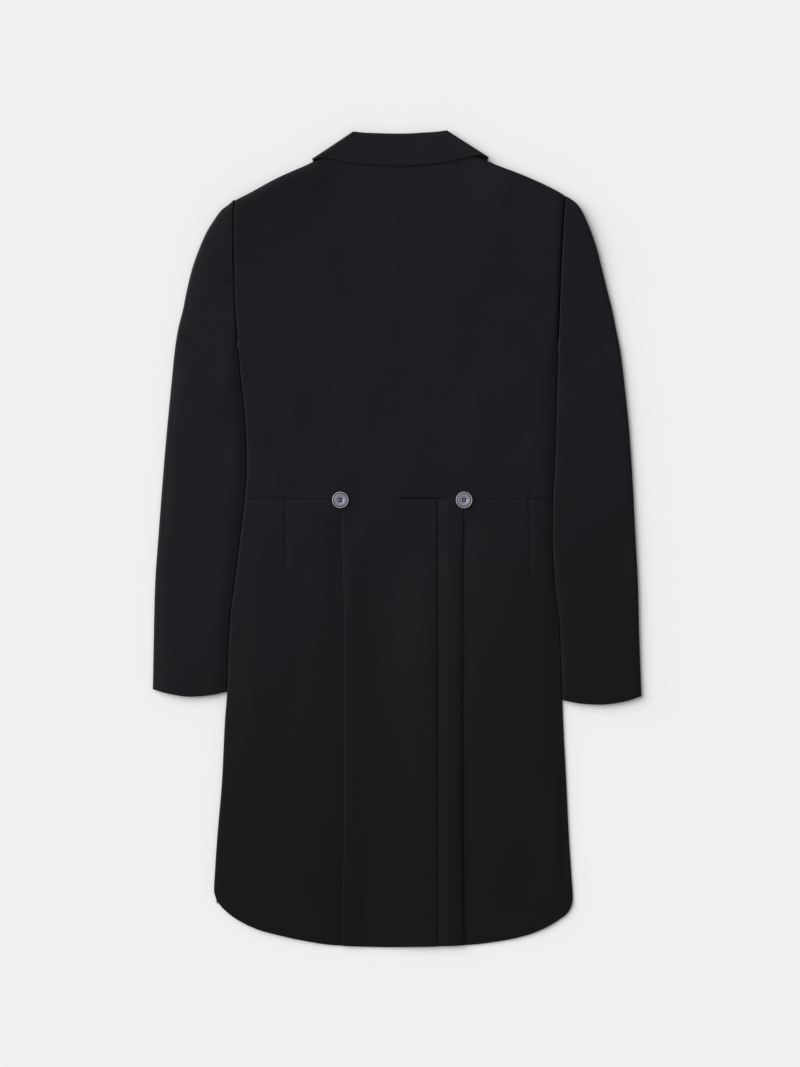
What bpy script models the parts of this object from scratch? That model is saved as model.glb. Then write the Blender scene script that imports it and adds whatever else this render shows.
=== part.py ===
# A man's morning coat, lying flat with its back up: every cut piece is its own closed shell of cloth.
# Units in the tables are millimetres. +X is the wearer's right, +Y runs towards the collar, +Z is up,
# and the floor that the coat lies on is z = 0. The tables give places as w, the distance outwards
# from x = 0, on the wearer's left (w = -x) and on the wearer's right (w = x).

import math

import bpy
import numpy as np

MM = 0.001
SIGN = {"left": -1, "right": 1}
COLUMN = {"left": 1, "right": 2}

# Walls of cloth and the gaps between pieces
BACK_WALL = 1.6
FRONT_WALL = 1.6
SKIRT_WALL = 1.6
SLEEVE_WALL = 1.6
LAPEL_WALL = 1.6
COLLAR_WALL = 1.6
LAYER_GAP = 0.3           # between two layers that lie on each other
PLEAT_GAP = 0.7           # between the skirt and the turned edge of the tail
PLEAT_DEPTH = 22.0        # how far the skirt reaches under the tail
SEAM = 0.2                # each edge stands this far back from its seam line
SIDE_GAP = 0.7            # from the side line to the body's fold, and to the sleeve's

# Heights of the upper layer above the floor
TORSO_HEIGHT = 7.2
PAD_RISE = 5.4            # how much the shoulder pad and sleeve head add
PAD_FALL = 70.0           # how far down from the shoulder the pad is felt
SKIRT_HEIGHT = 6.4
FOLD_RADIUS = 5.0         # half width of the rolled side folds
RIDGE_RADIUS = 9.0        # rounding of the cloth over the shoulder line

CENTRE_X = 4.5            # the middle of the coat
CENTRE_SEAM_X = 5.4       # seam down the middle of the back
WAIST_Y = 52.0
HOOK_Y = 52.2             # top edge of the vent flap
UNDERARM_Y = 257.0
VENT_X = 51.5             # edge of the flap on the left tail
VENT_RISE_X = 69.5        # where the right tail, beside the flap, has come up to the height of its pleat
CHEST_FOOT_Y = 112.0      # foot of the lapels on the front edge
CHEST_TOP_Y = 511.0       # neck end of the front edge
HEM_PLEAT_Y = -536.0      # where the side pleats meet the hem
HEM_FOLD_Y = -470.0       # where the side folds meet the hem

# The line between sleeve and body, and below the cuffs the side fold: y, left w, right w
SIDE_LINE = (
    (446.5, 212.5, 221.5), (427, 215.5, 220.1), (381, 215.1, 217.5), (315, 214.2, 214.8),
    (257, 210.0, 212.6), (222, 207.6, 211.3), (183, 203.0, 210.2), (143, 199.7, 209.2),
    (104, 198.6, 208.0), (77, 199.2, 206.6), (51, 201.6, 205.0), (-2, 207.6, 204.8),
    (-55, 214.2, 207.6), (-108, 220.8, 213.5), (-160, 223.4, 216.2), (-204, 224.7, 217.5),
    (-240, 227.4, 218.8), (-319, 231.3, 222.8), (-398, 237.9, 226.7), (-439, 240.6, 229.4),
    (-464, 241.9, 231.2), (-480, 240.0, 232.0),
)

# Neck seam and shoulder line of the back, from the centre seam outwards: w, y
SHOULDER_LINE = {
    "left": ((-5.0, 508), (30, 508.6), (58, 509.5), (78, 510.5), (122, 491.4), (157.5, 475.6), (195.5, 455),
             (212.3, 446.5)),
    "right": ((5.0, 508), (40, 508.6), (66, 509.5), (86, 510.5), (129, 493.2), (174, 475.6), (216, 455),
              (221.3, 451.5)),
}

# Seam between back and side body, from the armhole to the waist: w, y
BACK_SEAM = {
    "left": ((214.4, 363.4), (187.8, 363.2), (170.6, 359.7), (141.6, 335.9), (115.2, 288.4), (95.4, 235.6),
             (82.2, 169.6), (75.2, 103.6), (74.6, WAIST_Y)),
    "right": ((216.8, 375.4), (188.4, 371.6), (155.4, 354.4), (129.0, 321.4), (113.2, 268.6), (102.6, 209.2),
              (93.4, 143.2), (89.4, 75.0), (88.4, WAIST_Y)),
}

# Seam between side body and forepart: y, left w, right w
UNDERARM_SEAM = (
    (229, 203.0, 206.0), (183, 178.5, 200.5), (123, 161.4, 184.5), (64, 150.8, 176.0), (52, 149.5, 174.5),
)

# Fold of the side pleats, where the tail lies over the skirt: y, left w, right w
PLEAT_LINE = (
    (52, 74.6, 88.4), (-60, 71.2, 85.9), (-135, 70.3, 85.5), (-345, 70.5, 86.2), (-539, 73.0, 88.1),
)

# Hem, from the left side corner to the right one: x, y
HEM = (
    (-242, -464), (-239, -477), (-229, -490), (-211, -503.5), (-182, -516.8), (-157, -523.4), (-127, -530),
    (-82, -536.6), (-16, -539), (87, -536.6), (142, -530), (170, -523.4), (188, -516.8), (212, -503.5),
    (227, -490), (231, -477), (232, -464),
)

# Cutaway front edge: y, and how far in from the side fold it runs, as a part of the half width
CUTAWAY = (
    (52, 1.085), (40, 0.997), (20, 0.854), (0, 0.743), (-28, 0.636), (-80, 0.583), (-134, 0.552),
    (-200, 0.509), (-262, 0.450), (-329, 0.321), (-420, 0.178), (-464, 0.040), (-482, 0.0),
)

# Front edge and roll line of the forepart: y, and how far it runs past the middle
FRONT_EDGE = (
    (52, 22), (74, 18), (86, 8), (100, -1), (250, -18.5), (400, -36), (460, -43), (490, -58), (511, -79),
)

# Outer edge of lapel and collar on the chest: y, distance from the middle
LAPEL_EDGE = (
    (112, 10), (150, 44), (230, 82), (330, 109), (400, 122), (440, 128), (452, 126), (475, 114), (497, 122),
)

# Outer fold of the sleeves: y, left w, right w
SLEEVE_FOLD = (
    (446, 216.5, 231.0), (441.5, 220.8, 236.5), (433.5, 231.3, 242.6), (420.5, 241.2, 249.2),
    (407, 249.8, 254.8), (381, 261.7, 263.7), (354.5, 270.9, 270.3), (328, 277.5, 276.9),
    (301.5, 282.8, 283.5), (275, 289.4, 288.8), (249, 293.4, 294.0), (196, 298.7, 300.6),
    (143, 303.9, 305.9), (64, 310.5, 311.2), (11, 314.5, 313.8), (-68, 319.8, 317.8),
    (-121, 321.1, 319.1), (-215, 322.7, 322.4),
)

# Hindarm seam of the sleeves: y, left w, right w
HINDARM_SEAM = (
    (346, 219.0, 226.0), (341, 223.0, 230.5), (325.5, 236.6, 241.0), (303, 253.8, 253.2), (271, 267.0, 265.6),
    (234, 278.8, 277.5), (197, 289.4, 289.6), (147, 297.3, 300.8), (90, 303.5, 304.6), (20, 309.0, 307.5),
    (-68, 314.8, 311.0), (-215, 318.5, 318.6),
)

# Cuff edges: w, y
CUFF = {
    "left": ((224.0, -202.0), (250.0, -207.0), (273.6, -208.6), (300.0, -205.0), (322.7, -198.7)),
    "right": ((218.0, -213.2), (245.0, -218.0), (267.6, -219.1), (297.0, -215.5), (322.4, -207.9)),
}

# Collar: depth of its turn from the outer end to the crease, outer and crease ends of that turn and of
# its gorge, then its edges: x, y
COLLAR_TURN = ((0.0, 2.2), (0.3, 4.0), (0.7, 4.0), (1.0, 0.6))
COLLAR_RIDGE = {"left": ((-112.5, 500.4), (-58.5, 536.5)), "right": ((120.8, 502.7), (65.7, 538.0))}
COLLAR_GORGE = {"left": ((-83.5, 439.4), (-38.5, 461.2)), "right": ((92.5, 439.4), (47.5, 461.2))}
COLLAR_FALL = (
    (-111.3, 498.6), (-102, 500.8), (-86, 499.7), (-70, 496.3), (-46, 493.4), (-7, 491.0), (9, 491.0),
    (41, 493.2), (56, 494.8), (72, 497.3), (88, 501.2), (104, 504.8), (112, 505.0), (119.5, 501.4),
)
COLLAR_CREASE = ((-58.5, 536.5), (-30, 534.5), (4, 533.8), (40, 535.5), (65.7, 538))
STAND_NECK = ((-72, 513), (-30, 510), (4, 509), (40, 510), (79, 513.4))
STAND_CREASE = ((-55, 531), (-30, 529.5), (4, 529), (40, 530), (62, 532))

BUTTON_RADIUS = 11.0
BUTTON_HEIGHT = 3.4
WAIST_BUTTONS = {"waist_button_left": (-74.9, 50.8), "waist_button_right": (88.1, 50.8)}
FRONT_BUTTON_PLACE = (CENTRE_X, 78.0)
FRONT_BUTTON_HEIGHT = 1.2

WOOL = (0.0135, 0.0130, 0.0150, 1.0)
WOOL_ROUGHNESS = 0.88
HORN = (0.20, 0.20, 0.26, 1.0)
HORN_ROUGHNESS = 0.35


def smooth(value, start, end):
    """Eases from 0 at start to 1 at end."""
    t = np.clip((value - start) / (end - start), 0.0, 1.0)
    return t * t * (3.0 - 2.0 * t)


def curve_through(at, values):
    """Smooth curve through points, in order of at, that never swings past them."""
    order = np.argsort(at)
    x, y = np.array(at, float)[order], np.array(values, float)[order]
    step = np.diff(x)
    slope = np.diff(y) / step
    tangent = np.concatenate([[slope[0]], np.zeros(len(x) - 2), [slope[-1]]])
    for i in range(1, len(x) - 1):
        if slope[i - 1] * slope[i] > 0:
            before, after = 2 * step[i] + step[i - 1], step[i] + 2 * step[i - 1]
            tangent[i] = (before + after) / (before / slope[i - 1] + after / slope[i])

    def value_at(q):
        q = np.clip(q, x[0], x[-1])
        i = np.clip(np.searchsorted(x, q) - 1, 0, len(step) - 1)
        t = (q - x[i]) / step[i]
        start, end = (1 + 2 * t) * (1 - t) ** 2 * y[i], t * t * (3 - 2 * t) * y[i + 1]
        return start + end + step[i] * t * (1 - t) * ((1 - t) * tangent[i] - t * tangent[i + 1])

    return value_at


def path_through(points):
    """Smooth plan path through points, read by the part of its length from 0 to 1."""
    p = np.array(points, float)
    along = np.concatenate([[0.0], np.cumsum(np.linalg.norm(np.diff(p, axis=0), axis=1))])
    first, second = curve_through(along, p[:, 0]), curve_through(along, p[:, 1])
    return lambda part: np.stack([first(part * along[-1]), second(part * along[-1])], axis=-1)


def column_curve(table, side):
    """Curve over y of a table's left or right column."""
    return curve_through([row[0] for row in table], [row[COLUMN[side]] for row in table])


def plain_curve(table):
    return curve_through([row[0] for row in table], [row[1] for row in table])


def shifted(points, distance):
    """Points of a path moved sideways, to the right of its direction."""
    direction = np.gradient(points, axis=0)
    direction /= np.linalg.norm(direction, axis=1, keepdims=True)
    return points + distance * np.stack([direction[:, 1], -direction[:, 0]], axis=1)


def patch(top, bottom, inner, outer, u, v):
    """Plan points between four edges, in rows from the inner edge to the outer one."""
    u, v = u[None, :, None], v[:, None, None]
    across = (1 - u) * inner[:, None] + u * outer[:, None]
    down = (1 - v) * top[None] + v * bottom[None]
    corners = (1 - v) * ((1 - u) * top[0] + u * top[-1]) + v * ((1 - u) * bottom[0] + u * bottom[-1])
    return across + down - corners


# Rows that neighbouring pieces share, so that their edges follow each other: y
SIDE_ROWS = (WAIST_Y + SEAM, 64, 88, 112, 145, 180, 212, 229, 240, 250, 262)
SLEEVE_ROWS = (342, 332, 318, 300, 280, 264, 252, 240, 205, 165, 110, 50, -20, -90, -150, -190, -210)
TAIL_ROWS = (46, 43, 40, 34, 15, -10, -40, -80, -130, -200, -300, -420, -536)

side_line = {side: column_curve(SIDE_LINE, side) for side in SIGN}
underarm_seam = {side: column_curve(UNDERARM_SEAM, side) for side in SIGN}
pleat_line = {side: column_curve(PLEAT_LINE, side) for side in SIGN}
sleeve_fold = {side: column_curve(SLEEVE_FOLD, side) for side in SIGN}
hindarm_seam = {side: column_curve(HINDARM_SEAM, side) for side in SIGN}
cuff_line = {side: plain_curve(CUFF[side]) for side in SIGN}
shoulder_line = {side: plain_curve(SHOULDER_LINE[side][3:]) for side in SIGN}
hem_line = plain_curve(HEM)
cutaway = plain_curve(CUTAWAY)
cutaway_y = curve_through([row[1] for row in CUTAWAY], [row[0] for row in CUTAWAY])
front_edge = plain_curve(FRONT_EDGE)
lapel_edge = plain_curve(LAPEL_EDGE)


def from_middle(w, side):
    """Distance from the middle of the coat, positive towards the named side."""
    return w - SIGN[side] * CENTRE_X


# Heights of the layers

def torso_height(w, y, side):
    """Upper face of back, side body and sleeve head: level, with a rise at the shoulder."""
    below = np.maximum(shoulder_line[side](w) - y, 0.0)
    return TORSO_HEIGHT + PAD_RISE * np.exp(-((below / PAD_FALL) ** 2)) * smooth(w, 55.0, 185.0)


def pad_wall(w, y, side):
    """Extra wall under the shoulder, half of the rise there."""
    below = np.maximum(shoulder_line[side](w) - y, 0.0)
    return 0.5 * (torso_height(w, y, side) - TORSO_HEIGHT) * smooth(below, 0.0, 22.0)


def front_lift(w, y, side):
    """Lower face of the forepart, lifted over the lapel, the button and the other front."""
    c = from_middle(w, side)
    beside = lapel_edge(y)
    over_lapel = (LAPEL_WALL + LAYER_GAP) * smooth(c, beside + 16, beside + 4) * smooth(y, 92, 108)
    along = smooth(y, 53, 62) * smooth(y, 108, 96)
    over_button = (FRONT_BUTTON_HEIGHT + LAYER_GAP) * smooth(np.abs(c), 34, 24) * along
    lift = np.maximum(over_lapel, over_button)
    if side == "right":
        lift = lift + (FRONT_WALL + LAYER_GAP + 0.05) * smooth(c, 62, 28) * smooth(y, 150, 122)
    return lift


def pleat_base(y, side):
    """Height of the front skirt under the pleat, until the cutaway has passed it."""
    end = {"left": (-150, -70), "right": (-230, -110)}[side]
    return (SKIRT_WALL + LAYER_GAP) * smooth(y, *end)


def pleat_top(y, side):
    """Upper face of the tail along its pleat: skirt, turned edge and tail lie on each other."""
    return pleat_base(y, side) + SKIRT_WALL + PLEAT_GAP + 2 * BACK_WALL + 0.4


def tail_height(w, y, side):
    """Upper face of the tails: low in the middle, three layers high along the pleat."""
    low = 2 * BACK_WALL + LAYER_GAP
    middle = TORSO_HEIGHT + (low - TORSO_HEIGHT) * smooth(y, 22, -84)
    return middle + (pleat_top(y, side) - middle) * smooth(pleat_line[side](y) - w, 34, 8) * smooth(y, 53, 46)


def right_tail_height(w, y):
    """Upper face of the right tail: under the flap of the left one, then up to its own pleat."""
    flap = tail_height(-w, y, "left")
    under_flap = flap - BACK_WALL - LAYER_GAP
    outside = tail_height(np.full_like(w, VENT_RISE_X + 10.0), y, "right")
    level = under_flap + (outside - under_flap) * smooth(w, VENT_X + 0.8, VENT_RISE_X)
    return flap + (level - flap) * smooth(y, HOOK_Y + 2.8, HOOK_Y + 0.6)


def skirt_height(w, y, side):
    """Upper face of the skirt: high over the front skirt, low past the cutaway and at the pleat."""
    fold = side_line[side](y)
    half = from_middle(fold, side)
    inside = cutaway(y) * half - (fold - w)
    high = SKIRT_HEIGHT + (TORSO_HEIGHT - SKIRT_HEIGHT) * smooth(y, -60, 45)
    height = SKIRT_WALL + (high - SKIRT_WALL) * smooth(inside, -14, 14)
    dip = smooth(w - pleat_line[side](y), 22, 2) * smooth(y, 44, 30)
    return height + (pleat_base(y, side) + SKIRT_WALL - height) * dip


def front_skirt_lift(w, side):
    """Lower face of the front skirt: the right one laps over the left."""
    lap = SKIRT_WALL + LAYER_GAP if side == "right" else 0.0
    return lap * smooth(from_middle(w, side), 62, 28)


def round_over(height, middle, distance):
    """Brings a face to the middle height in a quarter round, over the shoulder line."""
    t = np.clip(distance / RIDGE_RADIUS, 0.0, 1.0)
    return middle + (height - middle) * np.sqrt(1.0 - (1.0 - t) ** 2)


def fold_round(edge, radius, top, bottom, count):
    """Half round of a fold between its upper and its lower end, both left out: w, z."""
    angle = np.linspace(math.pi / 2, -math.pi / 2, count + 2)[None, 1:-1]
    radius, bottom = np.broadcast_to(radius, edge.shape), np.broadcast_to(bottom, edge.shape)
    w = (edge - radius)[:, None] + radius[:, None] * np.cos(angle)
    z = ((top + bottom) / 2)[:, None] + ((top - bottom) / 2)[:, None] * np.sin(angle)
    return w, z


# Solids and materials

def material(name, colour, roughness):
    made = bpy.data.materials.new(name)
    made.use_nodes = True
    shader = made.node_tree.nodes["Principled BSDF"]
    shader.inputs["Base Color"].default_value = colour
    shader.inputs["Roughness"].default_value = roughness
    shader.inputs["Metallic"].default_value = 0.0
    return made


def add_object(name, points, faces, colour, roughness):
    mesh = bpy.data.meshes.new(name)
    mesh.from_pydata((np.asarray(points) * MM).tolist(), [], faces)
    mesh.materials.append(material(name, colour, roughness))
    mesh.shade_smooth()
    mesh.set_sharp_from_angle(angle=math.radians(50))
    made = bpy.data.objects.new(name, mesh)
    bpy.context.collection.objects.link(made)
    return made


def shell(name, w, y, z, side, wall, faces_up_at):
    """Closed wall of cloth inside a grid of outer points; at one of them the outer face looks up."""
    outer = np.stack([SIGN[side] * w, y, z], axis=2)
    normal = np.cross(np.gradient(outer, axis=0), np.gradient(outer, axis=1))
    normal /= np.linalg.norm(normal, axis=2, keepdims=True)
    turned = normal[faces_up_at][2] < 0
    if turned:
        normal = -normal
    rows, columns = w.shape
    inner = outer - normal * np.broadcast_to(wall, w.shape)[..., None]
    index = np.arange(rows * columns).reshape(rows, columns)
    quads = np.stack([index[:-1, :-1], index[1:, :-1], index[1:, 1:], index[:-1, 1:]], axis=-1)
    quads = quads.reshape(-1, 4)
    rim = np.concatenate([index[:, 0], index[-1, 1:], index[-2::-1, -1], index[0, -2:0:-1]])
    following = np.roll(rim, -1)
    sides = np.stack([rim, rim + rows * columns, following + rows * columns, following], axis=-1)
    faces = np.concatenate([quads, quads[:, ::-1] + rows * columns, sides])
    if turned:
        faces = faces[:, ::-1]
    points = np.concatenate([outer.reshape(-1, 3), inner.reshape(-1, 3)])
    return add_object(name, points, faces.tolist(), WOOL, WOOL_ROUGHNESS)


def across_rows(row_values, columns):
    """One value for each row, repeated over a number of columns."""
    return np.repeat(np.asarray(row_values, float)[:, None], columns, axis=1)


def seam_samples(side, offset):
    """Points along the back seam, one for each row of the side body, moved sideways."""
    part = np.linspace(0.0, 1.0, len(side_body_rows(side))) ** 1.12
    return shifted(path_through(BACK_SEAM[side])(part), offset)


def side_body_rows(side):
    """Heights y of the side body's rows at its outer edge, from the armhole down."""
    top = BACK_SEAM[side][0][1]
    return np.array([top - 7, top - 34, top - 66] + list(SIDE_ROWS[::-1]), float)


def strip_start(y, side):
    """Line between side body and forepart; above the seam's end it keeps to the side fold."""
    at_fold = side_line[side](y) - SIDE_GAP - FOLD_RADIUS - 2.0
    return np.minimum(underarm_seam[side](y), at_fold)


# Pieces

def back(side):
    """Back and tail in one, from the neck and shoulder to the hem, with the turned edge of the pleat."""
    sign, turned, radius, turned_depth = SIGN[side], 5, 3.0, 20.0
    main = {"left": np.linspace(0, 0.98, 9),
            "right": np.array([0, 0.2, 0.4, 0.55, 0.595, 0.63, 0.68, 0.78, 0.9, 0.98])}[side]
    u = np.concatenate([main, 0.98 + 0.02 * np.arange(1, turned + 1) / turned])
    centre = sign * CENTRE_SEAM_X + SEAM
    torso_end = HOOK_Y + 3.4

    # Outer edge: armhole, then the seam to the side body
    shoulder_y, corner_y = SHOULDER_LINE[side][-1][1], BACK_SEAM[side][0][1]
    armhole_part = np.array([0, 0.018, 0.054, 0.108, 0.265, 0.506, 0.759])
    armhole_y = shoulder_y - armhole_part * (shoulder_y - corner_y)
    armhole = np.stack([side_line[side](armhole_y) - 2 * SEAM, armhole_y], axis=1)
    seam = seam_samples(side, SEAM)
    seam[0, 0] = side_line[side](corner_y) - 2 * SEAM
    seam[-1] = (seam[-1, 0], torso_end)
    outer = np.concatenate([armhole, seam])
    along = np.concatenate([[0.0], np.cumsum(np.linalg.norm(np.diff(outer, axis=0), axis=1))])
    v = along / along[-1]
    top = path_through(SHOULDER_LINE[side])(u)
    top[0, 0], top[-1] = centre, outer[0]
    inner = np.stack([np.full(len(v), centre), top[0, 1] + (torso_end - top[0, 1]) * v], axis=1)
    bottom = inner[-1] + (outer[-1] - inner[-1]) * u[:, None]
    plan = patch(top, bottom, inner, outer, u, v)
    torso_w, torso_y = plan[..., 0], plan[..., 1]
    height = torso_height(torso_w, torso_y, side)
    from_ridge = np.linalg.norm(plan - plan[:1], axis=2)
    torso_z = round_over(height, 0.5 * height + 1.2, from_ridge)
    torso_wall = BACK_WALL + pad_wall(torso_w, torso_y, side)

    # Tail: level rows from the vent to the pleat, where the edge turns under
    first = {"left": (HOOK_Y + 0.35, HOOK_Y), "right": (HOOK_Y + 2.8, HOOK_Y + 0.6)}[side]
    row_y = np.array(first + TAIL_ROWS, float)
    fold = pleat_line[side](row_y) - SEAM
    inner_w = np.full(len(row_y), centre)
    if side == "left":
        inner_w[1:] = -VENT_X
    drop, grow = smooth(row_y, 47, 41)[:, None], smooth(row_y, 43, 25)[:, None]
    flat_w = fold[:, None] - 0.3 * np.arange(turned - 1, -1, -1)
    run_end = np.minimum(flat_w[:, 0] - 0.3, fold - radius * grow[:, 0] - 0.1)
    main_w = inner_w[:, None] + (run_end - inner_w)[:, None] * (main / main[-1])
    rows_main, rows_turned = across_rows(row_y, len(main)), across_rows(row_y, turned)
    if side == "left":
        main_z = tail_height(main_w, rows_main, side)
        flat_z = tail_height(flat_w, rows_turned, side)
    else:
        main_z = right_tail_height(main_w, rows_main)
        flat_z = right_tail_height(flat_w, rows_turned)
    low_z = pleat_base(row_y, side) + SKIRT_WALL + PLEAT_GAP
    round_w, round_z = fold_round(fold, radius, pleat_top(row_y, side), low_z, turned - 2)
    return_w = np.stack([fold - radius, fold - turned_depth], axis=1)
    turned_w = flat_w + (np.concatenate([round_w, return_w], axis=1) - flat_w) * grow
    turned_z = flat_z + (np.concatenate([round_z, across_rows(low_z, 2)], axis=1) - flat_z) * drop
    tail_w = np.concatenate([main_w, turned_w], axis=1)
    tail_z = np.concatenate([main_z, turned_z], axis=1)
    tail_y = across_rows(row_y, len(u))
    tail_y[-1] = hem_line(sign * tail_w[-1])

    w, y, z = (np.concatenate(pair) for pair in ((torso_w, tail_w), (torso_y, tail_y), (torso_z, tail_z)))
    wall = np.concatenate([torso_wall, np.full(tail_w.shape, BACK_WALL)])
    shell("back_" + side, w, y, z, side, wall, (9, 3))


def side_body(side):
    """Curved side panel between the back and the forepart, from the armhole to the waist."""
    edge_y = side_body_rows(side)
    inner = seam_samples(side, -SEAM)
    inner[-1, 1] = WAIST_Y + SEAM
    armhole = side_line[side](edge_y) - 2 * SEAM
    edge_w = np.where(edge_y > UNDERARM_Y, armhole, strip_start(edge_y, side) - SEAM)
    outer = np.stack([edge_w, edge_y], axis=1)
    along = np.concatenate([[0.0], np.cumsum(np.linalg.norm(np.diff(inner, axis=0), axis=1))])
    u, v = np.linspace(0, 1, 6), along / along[-1]
    top = inner[0] + (outer[0] - inner[0]) * u[:, None]
    bottom = inner[-1] + (outer[-1] - inner[-1]) * u[:, None]
    plan = patch(top, bottom, inner, outer, u, v)
    w, y = plan[..., 0], plan[..., 1]
    shell("side_body_" + side, w, y, torso_height(w, y, side), side, BACK_WALL + pad_wall(w, y, side), (6, 3))


def forepart(side):
    """Front of the coat: a strip on the upper side, round the side fold, then flat on the floor."""
    strip, turn = 3, 4
    sign = SIGN[side]
    ridge_gap = 0.9              # from the shoulder line to the edge
    top_y = SHOULDER_LINE[side][-1][1] - ridge_gap
    near_top = [top_y - down for down in (42, 20, 9, 4.5, 1.5, 0)]
    out_y = np.array(list(SIDE_ROWS) + [290, 330, 370] + near_top, float)
    v = (out_y - out_y[0]) / (out_y[-1] - out_y[0])
    edge = side_line[side](out_y) - SIDE_GAP
    closed = smooth(out_y, UNDERARM_Y + 3, UNDERARM_Y - 16)      # 1 where the side is a fold
    count = strip + 1 + turn
    narrow = 0.45

    # Plan of the face on the floor, with columns that keep beside the edge of the lapel
    start = edge - FOLD_RADIUS * closed - narrow * count * (1 - closed)
    above_foot = np.clip((out_y - CHEST_FOOT_Y) / (top_y - CHEST_FOOT_Y), 0, 1)
    inner_y = out_y + (CHEST_TOP_Y - top_y) * above_foot ** 2
    inner_w = sign * CENTRE_X - front_edge(inner_y)
    beside = []
    for distance in (17.0, 4.0):
        part = np.full(len(v), 0.5)
        for _ in range(4):
            place = lapel_edge(out_y + (inner_y - out_y) * part) + distance + sign * CENTRE_X
            part = (start - place) / (start - inner_w)
        beside.append(part)
    far, near = beside
    thirds = np.array([0, 1, 2, 3]) / 3
    part = np.concatenate([far[:, None] * thirds, near[:, None] + (1 - near[:, None]) * thirds], axis=1)
    w = start[:, None] + (inner_w - start)[:, None] * part
    y = out_y[:, None] + (inner_y - out_y)[:, None] * part
    y = y + (shoulder_line[side](w[-1]) - ridge_gap - y[-1]) * v[:, None] ** 3
    from_ridge = np.hypot(w - w[-1:], y - y[-1:])
    middle = 0.5 * torso_height(w, y, side) - 1.6
    z = round_over(front_lift(w, y, side), middle, from_ridge)
    floor_wall = FRONT_WALL + pad_wall(w, y, side)

    # Strip on the upper side and the turn of the fold, narrow on the floor above the underarm
    run = edge - FOLD_RADIUS
    seam = strip_start(out_y, side) + SEAM
    strip_w = seam[:, None] + (run - seam)[:, None] * np.arange(strip) / strip
    run_z = torso_height(run, out_y, side)
    turn_w, turn_z = fold_round(edge, FOLD_RADIUS, run_z, 0.0, turn)
    around_w = np.concatenate([strip_w, run[:, None], turn_w], axis=1)
    strip_z = torso_height(strip_w, across_rows(out_y, strip), side)
    around_z = np.concatenate([strip_z, run_z[:, None], turn_z], axis=1)
    flat_w = edge[:, None] - narrow * np.arange(count)
    side_w = flat_w + (around_w - flat_w) * closed[:, None]
    side_z = z[:, :1] + (around_z - z[:, :1]) * closed[:, None]
    side_y = across_rows(out_y, count)
    w, y, z = (np.concatenate(pair, axis=1) for pair in ((side_w, w), (side_y, y), (side_z, z)))
    wall = np.concatenate([np.full(side_w.shape, FRONT_WALL), floor_wall], axis=1)
    shell("forepart_" + side, w, y, z, side, wall, (1, 1))


def skirt(side):
    """Skirt below the waist: from under the pleat over the upper side, round the fold to the cutaway edge."""
    hidden, run, turn = 2, 8, 4
    sign, top_y = SIGN[side], WAIST_Y - SEAM
    v = np.array([0, 0.012, 0.03, 0.055, 0.1, 0.16, 0.23, 0.31, 0.41, 0.52, 0.64, 0.76, 0.87, 0.95, 1.0])
    v = v[:, None]

    # Upper side, from the pleat to the fold; each column runs to its own place on the hem
    part = np.linspace(0, 1, run + 1)
    low_pleat = pleat_line[side](HEM_PLEAT_Y)
    low_fold = side_line[side](HEM_FOLD_Y) - SIDE_GAP - FOLD_RADIUS
    end_y = hem_line(sign * (low_pleat + (low_fold - low_pleat) * part))
    run_y = top_y + (end_y - top_y) * v
    pleat, fold = pleat_line[side](run_y) + SEAM, side_line[side](run_y) - SIDE_GAP
    run_w = pleat + (fold - FOLD_RADIUS - pleat) * part

    # Pleat extension: narrow at the waist, then out under the tail
    under_y = np.repeat(run_y[:, :1], hidden, axis=1)
    grow = smooth(run_y[:, :1], 34.4, 6)
    flat_w = pleat[:, :1] + 0.5 * np.arange(hidden + 1)
    reach_w = pleat[:, :1] - PLEAT_DEPTH * np.arange(hidden, -1, -1) / hidden
    first_w = flat_w + (reach_w - flat_w) * grow
    run_w[:, 0] = first_w[:, -1]
    run_w[:, 1] = np.maximum(run_w[:, 1], run_w[:, 0] + 1.0)
    under_w = first_w[:, :-1]
    under_z = skirt_height(np.maximum(under_w, pleat[:, :1] - SEAM), under_y, side)
    run_z = skirt_height(run_w, run_y, side)

    # Turn of the side fold, down to the hem as well
    angle = np.linspace(math.pi / 2, -math.pi / 2, turn + 2)[1:-1]
    end_y = hem_line(sign * (low_fold + FOLD_RADIUS * np.cos(angle)))
    turn_y = top_y + (end_y - top_y) * v
    turn_start = side_line[side](turn_y) - SIDE_GAP - FOLD_RADIUS
    turn_w = turn_start + FOLD_RADIUS * np.cos(angle)
    turn_z = skirt_height(turn_start, turn_y, side) / 2 * (1 + np.sin(angle))

    # Face on the floor, out to the cutaway edge
    inward = np.array([0.0, 0.15, 0.3, 0.44, 0.55, 0.68, 0.84, 1.0, 1.085])
    end_y = np.minimum(cutaway_y(inward), top_y - 9.0)
    floor_y = top_y + (end_y - top_y) * v
    floor_fold = side_line[side](floor_y) - SIDE_GAP - FOLD_RADIUS
    floor_w = floor_fold - (floor_fold - sign * CENTRE_X) * inward
    floor_z = front_skirt_lift(floor_w, side)

    w = np.concatenate([under_w, run_w, turn_w, floor_w], axis=1)
    y = np.concatenate([under_y, run_y, turn_y, floor_y], axis=1)
    z = np.concatenate([under_z, run_z, turn_z, floor_z], axis=1)
    shell("skirt_" + side, w, y, z, side, SKIRT_WALL, (5, 6))


def sleeve_height(w, y, side):
    return torso_height(w, y, side) - 0.4 * smooth(y, UNDERARM_Y, 190)


def to_cuff(w, row_y, side):
    """Level rows, the last of which follows the edge of the cuff."""
    y = across_rows(row_y, w.shape[1])
    y[-1] = cuff_line[side](w[-1])
    return y


def forearm_seam(y, side):
    """Seam underneath; above the underarm the lower armhole takes its place."""
    armhole = side_line[side](y) + 2 * SEAM
    return armhole + (side_line[side](y) + SIDE_GAP + 18.0 - armhole) * smooth(y, 265, 240)


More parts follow.
